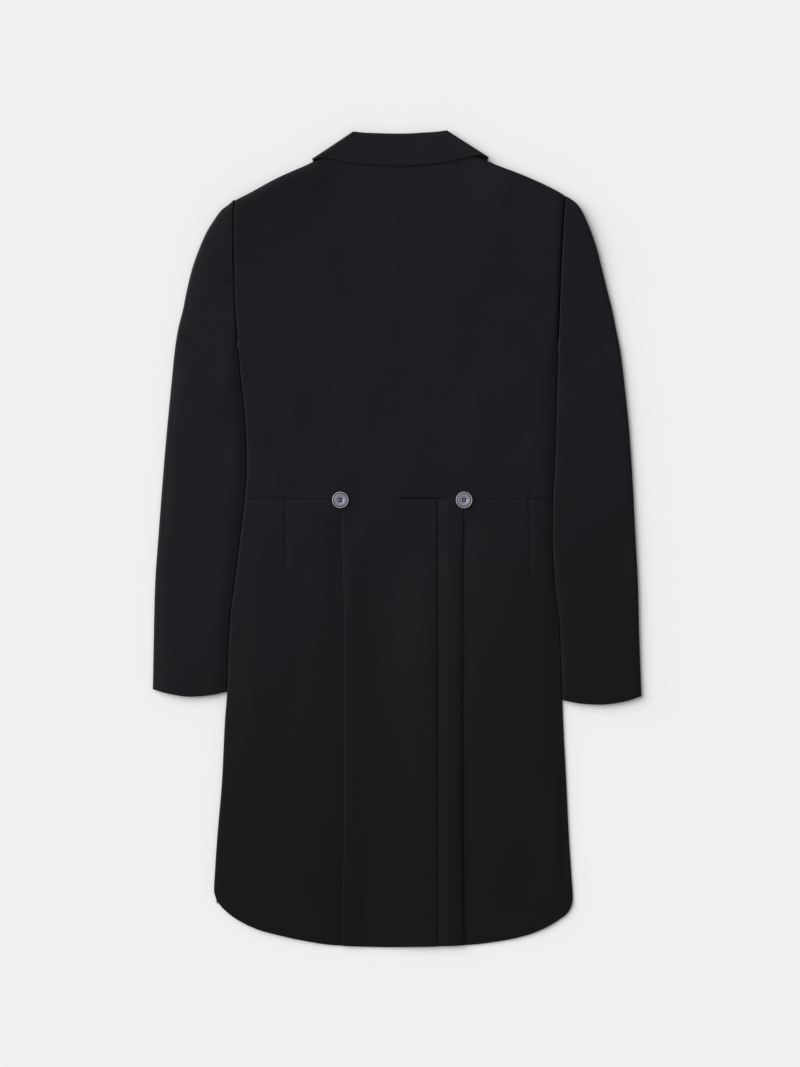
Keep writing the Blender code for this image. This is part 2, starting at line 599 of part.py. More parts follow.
def top_sleeve(side):
    """Outer part of the sleeve: from the hindarm seam round the outer fold to the seam underneath."""
    run, turn, under = 4, 4, 5
    head_y = {"left": 441.5, "right": 446.0}[side]
    row_y = np.array([head_y, head_y - 4, head_y - 12, 414, 392, 368, 344] + list(SLEEVE_ROWS), float)
    edge = sleeve_fold[side](row_y)
    armhole = side_line[side](row_y) + 2 * SEAM
    radius = np.minimum(FOLD_RADIUS, 0.4 * (edge - armhole))
    run_end = edge - radius
    seam = np.where(row_y > SLEEVE_ROWS[0], armhole, hindarm_seam[side](row_y) + SEAM)
    seam = np.minimum(seam, run_end - 1.6)
    run_w = seam[:, None] + (run_end - seam)[:, None] * np.linspace(0, 1, run + 1)
    full = sleeve_height(run_w, across_rows(row_y, run + 1), side)
    ease = np.sqrt(1 - (1 - np.clip((head_y + 4 - row_y) / 16, 0, 1)) ** 2)[:, None]
    run_z = full * (0.5 + 0.5 * ease)
    low_z = 0.5 * full[:, -1] * (1 - ease[:, 0])
    under_end = forearm_seam(row_y, side) + SEAM * smooth(row_y, 265, 240)
    under_w = run_end[:, None] + (under_end - run_end)[:, None] * np.linspace(0, 1, under)
    turn_w, turn_z = fold_round(edge, radius, run_z[:, -1], low_z, turn)
    w = np.concatenate([run_w, turn_w, under_w], axis=1)
    z = np.concatenate([run_z, turn_z, across_rows(low_z, under)], axis=1)

    def padding(part_w):
        pad = pad_wall(part_w, across_rows(row_y, part_w.shape[1]), side)
        return pad * smooth(run_end[:, None] - part_w, 0, 14)

    wall = SLEEVE_WALL + np.concatenate([padding(run_w), 0 * turn_w, padding(under_w)], axis=1)
    shell("top_sleeve_" + side, w, to_cuff(w, row_y, side), z, side, wall, (12, 1))


def under_sleeve(side):
    """Inner part of the sleeve: from the hindarm seam across to the body and round the inner fold."""
    run, turn, under, narrow = 5, 4, 2, 0.35
    row_y = np.array(SLEEVE_ROWS, float)
    edge = sleeve_fold[side](row_y)
    seam = np.minimum(hindarm_seam[side](row_y) + SEAM, edge - FOLD_RADIUS - 1.6) - 2 * SEAM
    closed = smooth(row_y, 264, 240)[:, None]
    count = turn + under
    flat_end = side_line[side](row_y) + 2 * SEAM
    fold = side_line[side](row_y) + SIDE_GAP
    flat_w = flat_end[:, None] + narrow * np.arange(count - 1, -1, -1)
    run_end = flat_end + narrow * count
    run_end = run_end + (fold + FOLD_RADIUS - run_end) * closed[:, 0]
    run_w = seam[:, None] + (run_end - seam)[:, None] * np.linspace(0, 1, run + 1)
    run_z = sleeve_height(run_w, across_rows(row_y, run + 1), side)
    mirrored, turn_z = fold_round(-fold, FOLD_RADIUS, run_z[:, -1], 0.0, turn)
    low_w = np.stack([fold + FOLD_RADIUS, forearm_seam(row_y, side) - SEAM], axis=1)
    low_w[:, 1] = np.maximum(low_w[:, 1], low_w[:, 0] + 1.0)
    around_w = np.concatenate([-mirrored, low_w], axis=1)
    around_z = np.concatenate([turn_z, np.zeros(low_w.shape)], axis=1)
    flat_z = sleeve_height(flat_w, across_rows(row_y, count), side)
    w = np.concatenate([run_w, flat_w + (around_w - flat_w) * closed], axis=1)
    z = np.concatenate([run_z, flat_z + (around_z - flat_z) * closed], axis=1)
    padding = pad_wall(run_w, across_rows(row_y, run + 1), side) * smooth(run_w - run_end[:, None], -1, 12)
    wall = SLEEVE_WALL + np.concatenate([padding, np.zeros(flat_w.shape)], axis=1)
    shell("under_sleeve_" + side, w, to_cuff(w, row_y, side), z, side, wall, (9, 1))


def lapel(side):
    """Peaked lapel, turned back under the chest and lying on the floor."""
    u = np.array([0, 0.28, 0.566, 0.72, 0.86, 1.0])
    top_y = np.array([460, 448.5, 437, 442, 447, 451.5])
    v = np.linspace(0, 1, 11)[:, None]
    y = CHEST_FOOT_Y + (top_y - CHEST_FOOT_Y) * v
    roll = 0.6 - front_edge(y)
    c = roll + (lapel_edge(CHEST_FOOT_Y + (top_y[-1] - CHEST_FOOT_Y) * v) - 1.0 - roll) * u
    z = np.full(y.shape, LAPEL_WALL)
    shell("lapel_" + side, c + SIGN[side] * CENTRE_X, y, z, side, LAPEL_WALL, (3, 3))


def collar_end(side, across):
    """One end of the collar, on the chest and over the shoulder: plan points, z, end of the leaf."""
    outer, crease = np.array(COLLAR_RIDGE[side])
    gorge_outer, gorge_crease = np.array(COLLAR_GORGE[side])
    outward = np.array([-(crease - outer)[1], (crease - outer)[0]])
    outward *= np.sign(outward[1]) / np.linalg.norm(outward)
    depth = np.interp(across, *np.transpose(COLLAR_TURN))[:, None]
    turn_start = outer + (crease - outer) * across[:, None] - depth * outward
    gorge = gorge_outer + (gorge_crease - gorge_outer) * across[:, None]
    leaf = gorge[:, None] + (turn_start - gorge)[:, None] * np.linspace(0, 1, 5)[None, :, None]
    angle = np.linspace(-math.pi / 2, math.pi / 2, 6)[1:-1]
    turn = turn_start[:, None] + depth[:, None] * outward * np.cos(angle)[None, :, None]
    level = collar_height(turn_start[:, 0], turn_start[:, 1])[:, None]
    z = np.concatenate([np.zeros(leaf.shape[:2]), level / 2 * (1 + np.sin(angle))], axis=1)
    return np.concatenate([leaf, turn], axis=1), z, turn_start


def collar_height(x, y):
    """Upper face of the collar where it lies on the back."""
    under = np.where(x < 0, torso_height(-x, y, "left"), torso_height(x, y, "right"))
    return under + LAYER_GAP + COLLAR_WALL + 0.3


def collar():
    """Fall of the collar: from the left gorge over the shoulder, round the neck and down to the right."""
    across = np.array([0.0, 0.2, 0.45, 0.7, 0.87, 0.96, 1.0])
    crease_drop = np.array([0.0, 0.0, 0.0, 0.0, 0.2, 1.1, 3.2])
    left, left_z, left_end = collar_end("left", across)
    right, right_z, right_end = collar_end("right", across)
    part = np.linspace(0, 1, 17)
    low, high = path_through(COLLAR_FALL)(part), path_through(COLLAR_CREASE)(part)
    middle = low[None] + (high - low)[None] * across[:, None, None]
    to_left, to_right = smooth(part, 0.25, 0.0)[:, None], smooth(part, 0.75, 1.0)[:, None]
    left_shift, right_shift = left_end[:, None] - middle[:, :1], right_end[:, None] - middle[:, -1:]
    middle = middle + to_left * left_shift + to_right * right_shift
    ends = smooth(np.abs(part - 0.5), 0.5, 0.38)
    middle_z = collar_height(middle[..., 0], middle[..., 1]) - crease_drop[:, None] * ends
    plan = np.concatenate([left, middle, right[:, ::-1]], axis=1)
    z = np.concatenate([left_z, middle_z, right_z[:, ::-1]], axis=1)
    shell("collar", plan[..., 0], plan[..., 1], z, "right", COLLAR_WALL, (2, 17))


def collar_stand():
    """Stand of the collar, between the neck seam and the crease, under the fall."""
    part, across = np.linspace(0, 1, 10), np.linspace(0, 1, 3)[:, None, None]
    low, high = path_through(STAND_NECK)(part), path_through(STAND_CREASE)(part)
    plan = low[None] + (high - low)[None] * across
    z = np.full(plan.shape[:2], TORSO_HEIGHT - 1.9)
    shell("collar_stand", plan[..., 0], plan[..., 1], z, "right", COLLAR_WALL, (1, 5))


def button(name, place, base, height, segments):
    """Turned button with a rim, a groove and a dished middle, and four holes through it."""
    radius_height = ((0.40, 0.66), (0.62, 0.86), (0.70, 0.86), (0.76, 0.66), (0.84, 1.0), (0.94, 0.97),
                     (1.0, 0.70), (0.96, 0.25), (0.72, 0.0))
    hole_place, hole_radius = 0.145 * BUTTON_RADIUS, 0.095 * BUTTON_RADIUS
    turn = 2 * math.pi * (np.arange(segments) + 0.5) / segments
    rings = [np.stack([r * BUTTON_RADIUS * np.cos(turn), r * BUTTON_RADIUS * np.sin(turn),
                       np.full(segments, h * height)], axis=1) for r, h in radius_height]
    points = np.concatenate([[(0, 0, 0.62 * height)]] + rings + [[(0, 0, 0)]]) + (place[0], place[1], base)
    faces = []
    last = 1 + (len(rings) - 1) * segments
    for k in range(segments):
        after = (k + 1) % segments
        faces.append((0, 1 + k, 1 + after))
        faces.append((len(points) - 1, last + after, last + k))
        for ring in range(1, last, segments):
            faces.append((ring + k, ring + segments + k, ring + segments + after, ring + after))
    made = add_object(name, points, faces, HORN, HORN_ROUGHNESS)
    for dx in (-hole_place, hole_place):
        for dy in (-hole_place, hole_place):
            at = ((place[0] + dx) * MM, (place[1] + dy) * MM, (base + height / 2) * MM)
            bpy.ops.mesh.primitive_cylinder_add(
                vertices=8, radius=hole_radius * MM, depth=3 * height * MM, location=at)
            cutter = bpy.context.object
            cutter.name = name + "_hole_cutter"
            cutter.hide_render = True
            cutter.display_type = "WIRE"
            cut = made.modifiers.new("hole", "BOOLEAN")
            cut.operation = "DIFFERENCE"
            cut.solver = "EXACT"
            cut.object = cutter


for old in list(bpy.data.objects):
    bpy.data.objects.remove(old, do_unlink=True)

for name_of_side in SIGN:
    back(name_of_side)
    side_body(name_of_side)
    forepart(name_of_side)
    skirt(name_of_side)
    top_sleeve(name_of_side)
    under_sleeve(name_of_side)
    lapel(name_of_side)
collar()
collar_stand()
for button_name, button_place in WAIST_BUTTONS.items():
    button(button_name, button_place, pleat_top(50.0, "left") + LAYER_GAP, BUTTON_HEIGHT, 20)
button("front_button", FRONT_BUTTON_PLACE, 0.0, FRONT_BUTTON_HEIGHT, 16)
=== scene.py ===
# Morning coat lying flat with its back up, on a pale floor.
# Tables are in millimetres: +X is the wearer's right, +Y runs to the collar, +Z is up.
# w is the distance outwards from x = 0, on the wearer's left (w = -x) and right (w = x).
import math

import bpy
import numpy as np
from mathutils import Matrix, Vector


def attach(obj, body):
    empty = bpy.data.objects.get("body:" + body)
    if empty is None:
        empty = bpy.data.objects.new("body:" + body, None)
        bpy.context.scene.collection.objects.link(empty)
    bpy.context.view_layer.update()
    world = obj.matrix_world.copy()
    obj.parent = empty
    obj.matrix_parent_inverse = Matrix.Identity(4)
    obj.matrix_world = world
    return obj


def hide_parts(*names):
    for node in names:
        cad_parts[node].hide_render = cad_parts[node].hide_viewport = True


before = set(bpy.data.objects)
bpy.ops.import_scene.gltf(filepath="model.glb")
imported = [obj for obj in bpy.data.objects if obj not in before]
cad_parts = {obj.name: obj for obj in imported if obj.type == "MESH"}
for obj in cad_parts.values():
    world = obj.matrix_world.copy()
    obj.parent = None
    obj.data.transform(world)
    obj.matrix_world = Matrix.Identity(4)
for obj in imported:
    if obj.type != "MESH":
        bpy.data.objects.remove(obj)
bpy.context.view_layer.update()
print("frame loaded")

mm = 0.001
signOf = {"left": -1, "right": 1}
columnOf = {"left": 1, "right": 2}

# Walls, gaps and heights of the layers of cloth
layers = {
    "wall": 1.4, "gap": 0.3, "pleatGap": 0.2, "pleatDepth": 22.0, "seam": 0.12, "sideGap": 0.04,
    "torso": 7.2, "skirt": 6.4, "padRise": 5.4, "padFall": 70.0, "ridgeRadius": 9.0,
    "overButton": 1.5, "flapLift": 3.0, "overPleat": 0.9, "skirtSinks": {"left": 0.6, "right": 1.6},
    "hemSinks": 1.4, "underSeam": 0.75, "sleeveSinks": 0.4, "underForearm": 18.0,
}

lap = layers["wall"] + layers["gap"]  # how much higher a layer lies than the one under it

# Where one form passes into the next, from and to: of y, of w, or of the distance that the name says
passes = {
    "rollWidens": (290, 200), "padAcross": (55, 185), "padWall": (0, 22),
    "besideLapel": (16, 4), "lapelFoot": (92, 108),
    "besideButton": (34, 24), "belowButton": (53, 62), "aboveButton": (108, 96),
    "frontLapAcross": (62, 28), "frontLap": (150, 122),
    "underPleat": {"left": (-150, -70), "right": (-230, -110)},
    "flapAcross": (-30, 48), "tailSinks": (22, -84), "besidePleat": (34, 8), "pleatBegins": (48, 6),
    "pleatCrown": (40, -60), "pleatDrops": (47, 41), "pleatTurns": (43, 25), "underLapGrows": (34.4, 6),
    "skirtRises": (-60, 45), "skirtSinks": (0, -200), "hemSinks": (-380, -500), "scoopWidens": (-60, -420),
    "scoopBegins": (46, 10), "clearOfFloor": (20, 60), "stripSinks": (246, 256),
    "forearmOpens": (265, 240), "insideFoldOpens": (264, 240),
    "outerPad": (0, 14), "innerPad": (-1, 12),
}

# How the upper face falls to the side folds, as a quarter ellipse: width at the armhole, width below it
# and depth. The right tail's pleat is crowned: width, depth, and how much the cloth rises before it.
rolls = {
    "body": {"left": (2.5, 6.0, 0.45), "right": (8.0, 25.0, 5.0)},
    "sleeveInside": {"left": (2.5, 20.0, 5.0), "right": (2.0, 5.0, 0.9)},
    "sleeveOutside": {"left": (46.0, 24.0, 3.8), "right": (9.0, 9.0, 1.0)},
    "pleat": (14.0, 2.1, 1.3),
}

# Half widths of the folds
foldRadii = {
    "body": {"left": 1.8, "right": 2.2}, "sleeveInside": {"left": 2.4, "right": 1.5}, "sleeveOutside": 5.0,
    "pleat": 0.8,
}

# Seams, folds and edges of the coat as it lies
plan = {
    "centre": 4.5, "waist": 52.0, "hook": 52.2, "underarm": 257.0, "vent": 51.5, "ventCorner": 4.0,
    "ventRise": 69.5, "hemAtPleat": -536.0, "hemAtFold": -470.0, "lapelFoot": 112.0, "collarTop": 511.0,
    # rows are level down to the first of these, and over the second they come to follow the edge
    "tailEnd": (-500.0, 36.0), "cuffEnd": (-180.0, 30.0),
    # sleeve and body, and below the cuffs the side fold: y, left w, right w
    "sideLine": (
        (446.5, 212.5, 221.5), (427, 215.5, 220.1), (381, 215.1, 217.5), (315, 214.2, 214.8),
        (257, 210.0, 212.6), (222, 207.6, 211.3), (183, 203.0, 210.2), (143, 199.7, 209.2),
        (104, 198.6, 208.0), (77, 199.2, 206.6), (51, 201.6, 205.0), (-2, 207.6, 204.8),
        (-55, 214.2, 207.6), (-108, 220.8, 213.5), (-160, 223.4, 216.2), (-204, 224.7, 217.5),
        (-240, 227.4, 218.8), (-319, 231.3, 222.8), (-398, 237.9, 226.7), (-439, 240.6, 229.4),
        (-464, 241.9, 231.2), (-480, 240.0, 232.0)),
    # neck seam and shoulder of the back: w, y
    "shoulder": {
        "left": ((-5.0, 508), (30, 508.6), (58, 509.5), (78, 510.5), (122, 491.4), (157.5, 475.6),
                 (195.5, 455), (212.3, 446.5)),
        "right": ((5.0, 508), (40, 508.6), (66, 509.5), (86, 510.5), (129, 493.2), (174, 475.6),
                  (216, 455), (221.3, 451.5))},
    # back and side body: w, y
    "backSeam": {
        "left": ((214.4, 363.4), (187.8, 363.2), (170.6, 359.7), (141.6, 335.9), (115.2, 288.4),
                 (95.4, 235.6), (82.2, 169.6), (75.2, 103.6), (74.6, 52.0)),
        "right": ((216.8, 375.4), (188.4, 371.6), (155.4, 354.4), (129.0, 321.4), (113.2, 268.6),
                  (102.6, 209.2), (93.4, 143.2), (89.4, 75.0), (88.4, 52.0))},
    # side body and forepart: y, left w, right w
    "underarmSeam": (
        (229, 203.0, 206.0), (183, 178.5, 200.5), (123, 161.4, 184.5), (64, 150.8, 176.0),
        (52, 149.5, 174.5)),
    # fold of the side pleats: y, left w, right w
    "pleat": (
        (52, 74.6, 88.4), (-60, 71.2, 85.9), (-135, 70.3, 85.5), (-345, 70.5, 86.2), (-539, 73.0, 88.1)),
    # hem, from the left side corner to the right one: x, y
    "hem": (
        (-242, -464), (-239, -477), (-229, -490), (-211, -503.5), (-182, -516.8), (-157, -523.4),
        (-127, -530), (-82, -536.6), (-16, -539), (87, -536.6), (142, -530), (170, -523.4),
        (188, -516.8), (212, -503.5), (227, -490), (231, -477), (232, -464)),
    # cutaway edge: y, and how far in from the side fold, as a part of the half width
    "cutaway": (
        (52, 1.085), (40, 0.997), (20, 0.854), (0, 0.743), (-28, 0.636), (-80, 0.583), (-134, 0.552),
        (-200, 0.509), (-262, 0.450), (-329, 0.321), (-420, 0.178), (-464, 0.040)),
    # front edge and roll line: y, and how far past the middle
    "frontEdge": (
        (52, 22), (74, 18), (86, 8), (100, -1), (250, -18.5), (400, -36), (460, -43), (490, -58),
        (511, -79)),
    # outer edge of lapel and collar on the chest: y, distance from the middle
    "lapelEdge": (
        (112, 10), (150, 44), (230, 82), (330, 109), (400, 122), (440, 128), (452, 126), (475, 114),
        (497, 122)),
    # outer fold of the sleeves: y, left w, right w
    "sleeveFold": (
        (450.5, 214.0, 223.6), (446, 216.5, 231.0), (441.5, 220.8, 236.5), (433.5, 231.3, 242.6),
        (420.5, 241.2, 249.2), (407, 249.8, 254.8), (381, 261.7, 263.7), (354.5, 270.9, 270.3),
        (328, 277.5, 276.9), (301.5, 282.8, 283.5), (275, 289.4, 288.8), (249, 293.4, 294.0),
        (196, 298.7, 300.6), (143, 303.9, 305.9), (64, 310.5, 311.2), (11, 314.5, 313.8),
        (-68, 319.8, 317.8), (-121, 321.1, 319.1), (-215, 322.7, 322.4)),
    # hindarm seam of the sleeves: y, left w, right w
    "hindarmSeam": (
        (346, 216.0, 224.0), (341, 220.0, 228.6), (335, 230.0, 232.0), (329, 239.0, 235.4),
        (303, 252.0, 249.8), (271, 265.6, 263.3), (234, 278.8, 278.2), (197, 289.4, 289.6),
        (147, 297.3, 300.8), (90, 303.5, 304.6), (20, 309.0, 307.5), (-68, 314.8, 311.0),
        (-215, 318.5, 318.6)),
    # cuff edges: w, y
    "cuff": {
        "left": ((224.0, -202.0), (250.0, -207.0), (273.6, -208.6), (300.0, -205.0), (322.7, -198.7)),
        "right": ((218.0, -213.2), (245.0, -218.0), (267.6, -219.1), (297.0, -215.5), (322.4, -207.9))},
}


# Curves and grids

def ease(value, start, end):
    # goes from 0 at start to 1 at end as 3t^2 - 2t^3
    t = np.clip((value - start) / (end - start), 0.0, 1.0)
    return t * t * (3.0 - 2.0 * t)


def curveThrough(at, values):
    # cubic pieces with the harmonic mean of the slopes at each point, so that it never swings past them
    order = np.argsort(at)
    x, y = np.array(at, float)[order], np.array(values, float)[order]
    step = np.diff(x)
    slope = np.diff(y) / step
    before, after = slope[:-1], slope[1:]
    left, right = 2 * step[1:] + step[:-1], step[1:] + 2 * step[:-1]
    same = before * after > 0
    safeBefore, safeAfter = np.where(same, before, 1.0), np.where(same, after, 1.0)
    middle = np.where(same, (left + right) / (left / safeBefore + right / safeAfter), 0.0)
    tangent = np.concatenate([slope[:1], middle, slope[-1:]])

    def valueAt(q):
        q = np.clip(q, x[0], x[-1])
        i = np.clip(np.searchsorted(x, q) - 1, 0, len(step) - 1)
        t = (q - x[i]) / step[i]
        ends = (1 + 2 * t) * (1 - t) ** 2 * y[i] + t * t * (3 - 2 * t) * y[i + 1]
        return ends + step[i] * t * (1 - t) * ((1 - t) * tangent[i] - t * tangent[i + 1])

    return valueAt


def lengthAlong(points):
    # distance along a path from its first point
    return np.concatenate([[0.0], np.cumsum(np.linalg.norm(np.diff(points, axis=0), axis=1))])


def pathThrough(points):
    # plan path through points, read by the part of its length from 0 to 1
    p = np.array(points, float)
    along = lengthAlong(p)
    first, second = curveThrough(along, p[:, 0]), curveThrough(along, p[:, 1])
    return lambda part: np.stack([first(part * along[-1]), second(part * along[-1])], axis=-1)


def columnCurve(name, side):
    table = plan[name]
    return curveThrough([row[0] for row in table], [row[columnOf[side]] for row in table])


def plainCurve(table):
    return curveThrough([row[0] for row in table], [row[1] for row in table])


def shifted(points, distance):
    # a path moved sideways, to the right of its direction
    direction = np.gradient(points, axis=0)
    direction /= np.linalg.norm(direction, axis=1, keepdims=True)
    return points + distance * np.stack([direction[:, 1], -direction[:, 0]], axis=1)


def patchBetween(top, bottom, inner, outer, u, v):
    # Coons patch: both pairs of edges blended, less the corners that are counted twice
    u, v = u[None, :, None], v[:, None, None]
    across = (1 - u) * inner[:, None] + u * outer[:, None]
    down = (1 - v) * top[None] + v * bottom[None]
    corners = ((1 - u) * (1 - v) * top[0] + u * (1 - v) * top[-1]
               + (1 - u) * v * bottom[0] + u * v * bottom[-1])
    return across + down - corners


def refined(keys, step):
    # the keys with even steps between them, none longer than step
    parts = [np.linspace(a, b, max(1, math.ceil(abs(b - a) / step)), endpoint=False)
             for a, b in zip(keys[:-1], keys[1:])]
    return np.concatenate(parts + [np.array([keys[-1]], float)])


edgeSteps = (0.0, 0.35, 0.8, 1.4, 2.2, 3.4, 5.2)  # where a pressed edge needs its rows


def spread(length, step):
    # parts of a length from 0 to 1, close together at both ends
    middle = refined((edgeSteps[-1], length - edgeSteps[-1]), step)
    return np.concatenate([edgeSteps[:-1], middle, length - np.array(edgeSteps[-2::-1])]) / length


def endRows(end, step):
    # the closer rows towards an edge
    level, depth = end
    return level - depth * spread(depth, step)[len(edgeSteps):]


def toEdge(y, edgeY, end):
    # rows below the last level one, moved to follow the edge
    level, depth = end
    near = np.clip((level - y) / depth, 0.0, 1.0)
    return np.where(near > 0, level + (edgeY - level) * near, y)


def overRows(rowValues, columns):
    return np.repeat(np.asarray(rowValues, float)[:, None], columns, axis=1)


sideLine = {side: columnCurve("sideLine", side) for side in signOf}
underarmSeam = {side: columnCurve("underarmSeam", side) for side in signOf}
pleatLine = {side: columnCurve("pleat", side) for side in signOf}
sleeveFold = {side: columnCurve("sleeveFold", side) for side in signOf}
hindarmSeam = {side: columnCurve("hindarmSeam", side) for side in signOf}
cuffLine = {side: plainCurve(plan["cuff"][side]) for side in signOf}
shoulderLine = {side: plainCurve(plan["shoulder"][side][3:]) for side in signOf}
hemLine = plainCurve(plan["hem"])
frontEdge = plainCurve(plan["frontEdge"])
lapelEdge = plainCurve(plan["lapelEdge"])


def bodyEdge(y, side):
    # outermost line of forepart and skirt
    return sideLine[side](y) - layers["sideGap"]


def fromMiddle(w, side):
    return w - signOf[side] * plan["centre"]


# Heights of the layers

def rollDown(distance, y, widths):
    # a quarter ellipse down to an edge, wider below the armhole than beside it
    atArmhole, belowIt, depth = widths
    width = atArmhole + (belowIt - atArmhole) * ease(y, *passes["rollWidens"])
    t = np.clip(1.0 - distance / width, 0.0, 0.97)
    return depth * (1.0 - np.sqrt(1.0 - t * t))


def bodyRoll(w, y, side):
    return rollDown(bodyEdge(y, side) - w, y, rolls["body"][side])


def shoulderRise(w, y, side):
    # dies away down from the shoulder and in towards the neck
    below = np.maximum(shoulderLine[side](w) - y, 0.0)
    return layers["padRise"] * np.exp(-((below / layers["padFall"]) ** 2)) * ease(w, *passes["padAcross"])


def torsoHeight(w, y, side):
    return layers["torso"] + shoulderRise(w, y, side) - bodyRoll(w, y, side)


def padWall(w, y, side):
    # half of that rise is wall, from just below the shoulder line
    below = np.maximum(shoulderLine[side](w) - y, 0.0)
    return 0.5 * shoulderRise(w, y, side) * ease(below, *passes["padWall"])


def frontLift(w, y, side):
    # lower face of the forepart, lifted over lapel, button and the other front
    c = fromMiddle(w, side)
    overLapel = lap * ease(c - lapelEdge(y), *passes["besideLapel"]) * ease(y, *passes["lapelFoot"])
    overButton = layers["overButton"] * ease(np.abs(c), *passes["besideButton"])
    overButton = overButton * ease(y, *passes["belowButton"]) * ease(y, *passes["aboveButton"])
    lift = np.maximum(overLapel, overButton)
    if side == "right":
        overFront = ease(c, *passes["frontLapAcross"]) * ease(y, *passes["frontLap"])
        lift = lift + (lap + 0.05) * overFront
    return lift


def pleatBase(y, side):
    # the front skirt lies under the pleat until the cutaway has passed it
    return lap * ease(y, *passes["underPleat"][side])


def pleatTop(y, side):
    return pleatBase(y, side) + 3 * layers["wall"] + layers["pleatGap"] + 0.1


def tailHeight(w, y, side):
    # low in the middle, three layers high along the pleat, and raised towards the flap of the left tail
    lift = (layers["flapLift"] + pleatBase(y, "right")) * ease(-w, *passes["flapAcross"])
    low = 2 * layers["wall"] + layers["gap"] + lift
    middle = layers["torso"] + (low - layers["torso"]) * ease(y, *passes["tailSinks"])
    atPleat = ease(pleatLine[side](y) - w, *passes["besidePleat"]) * ease(y, *passes["pleatBegins"])
    return middle + (pleatTop(y, side) - middle) * atPleat


def rightTailHeight(w, y):
    # under the flap of the left tail, then up to its own pleat
    flap = tailHeight(-w, y, "left")
    underFlap = flap - lap
    outside = tailHeight(np.full_like(w, 80.0), y, "right")
    width, depth, crown = rolls["pleat"]
    crowned = ease(y, *passes["pleatCrown"])
    outside = outside + crown * crowned
    level = underFlap + (outside - underFlap) * ease(w, plan["vent"] + 0.8, plan["ventRise"])
    level = level - rollDown(pleatLine["right"](y) - w, y, (width, width, depth)) * crowned
    return flap + (level - flap) * ease(y, plan["hook"] + 2.8, plan["hook"] + 0.6)


def skirtHeight(w, y, side):
    # full at the side, and scooped out as a parabola down to the pleat
    fromPleat = w - pleatLine[side](y)
    high = layers["skirt"] + (layers["torso"] - layers["skirt"]) * ease(y, *passes["skirtRises"])
    atPleat = pleatBase(y, side) + layers["wall"] + layers["overPleat"]
    high = high - layers["skirtSinks"][side] * ease(y, *passes["skirtSinks"])
    high = high - layers["hemSinks"] * ease(y, *passes["hemSinks"])
    reach = 42 + 40 * ease(y, *passes["scoopWidens"])
    climb = 1 - (1 - np.clip(fromPleat / reach, 0.0, 1.0)) ** 2
    scooped = atPleat + (high - atPleat) * climb
    underSeam = layers["underSeam"] * np.exp((y - plan["waist"]) / 5)  # pressed away from the waist seam
    height = high + (scooped - high) * ease(y, *passes["scoopBegins"]) - bodyRoll(w, y, side) - underSeam
    return np.maximum(height, (2 * layers["wall"] + 0.25) * ease(fromPleat, *passes["clearOfFloor"]))


def roundOver(height, middle, distance):
    # quarter round down to the middle height at the shoulder line
    t = np.clip(distance / layers["ridgeRadius"], 0.0, 1.0)
    return middle + (height - middle) * np.sqrt(1.0 - (1.0 - t) ** 2)


def foldRound(edge, radius, top, bottom, count):
    # half round of a fold, without its two ends: w, z
    angle = np.linspace(math.pi / 2, -math.pi / 2, count + 2)[None, 1:-1]
    radius, bottom = np.broadcast_to(radius, edge.shape), np.broadcast_to(bottom, edge.shape)
    w = (edge - radius)[:, None] + radius[:, None] * np.cos(angle)
    z = ((top + bottom) / 2)[:, None] + ((top - bottom) / 2)[:, None] * np.sin(angle)
    return w, z


# How the pressed cloth lies: x, y at both ends, half width and height in mm; a low number is a trough
pressing = {
    "edgeWidth": 1.3,
    "creases": (
        # collar: pressed flatter over the neck
        ((-26, 519), (40, 520), 8, -0.5),
        # shoulders: a soft hollow below each pad, and one beside the neck
        ((-150, 440), (-196, 418), 20, -0.7), ((-92, 472), (-60, 430), 26, -0.55),
        ((150, 452), (196, 424), 24, -0.6),
        # blades: long slow swells
        ((-120, 420), (-108, 330), 34, 0.6), ((118, 415), (112, 330), 38, 0.5),
        # waist: the side bodies drawn in
        ((-172, 130), (-122, 96), 17, -0.55), ((-182, 196), (-128, 172), 22, 0.4),
        ((168, 140), (128, 112), 19, -0.5), ((178, 215), (136, 190), 24, 0.35),
        # sleeves: elbow and forearm breaks
        ((-226, 226), (-282, 262), 17, -0.8), ((-222, 172), (-292, 206), 20, 0.65),
        ((-222, 118), (-296, 126), 22, -0.6), ((-228, 20), (-306, 48), 24, 0.55),
        ((-232, -60), (-312, -34), 26, -0.5), ((-236, 330), (-262, 372), 16, 0.45),
        ((226, 232), (284, 270), 19, -0.75), ((224, 166), (294, 196), 21, 0.6),
        ((222, 104), (300, 122), 24, -0.55), ((226, 6), (306, 40), 26, 0.5),
        ((228, -84), (312, -60), 24, -0.45), ((236, 338), (258, 380), 16, 0.4),
        # skirts: long slow folds from the waist to the hem
        ((-176, 20), (-204, -330), 20, 0.75), ((-118, 0), (-130, -240), 22, -0.55),
        ((-150, -300), (-188, -490), 24, -0.6), ((150, 8), (160, -300), 26, 0.55),
        ((196, -40), (206, -360), 16, -0.5), ((128, -330), (190, -470), 30, -0.7),
        # tails: the left one is faintly fluted
        ((-40, 0), (-36, -500), 20, 0.35), ((6, -40), (10, -500), 22, -0.3),
    ),
    # darts of the skirts, sewn shut from the waist down: the cloth drops beside them, and comes back slowly
    "darts": (((-148.3, 54), (-148.9, -66), 7.0, 0.8), ((172.6, 54), (174.0, -68), 7.0, 0.8)),
}


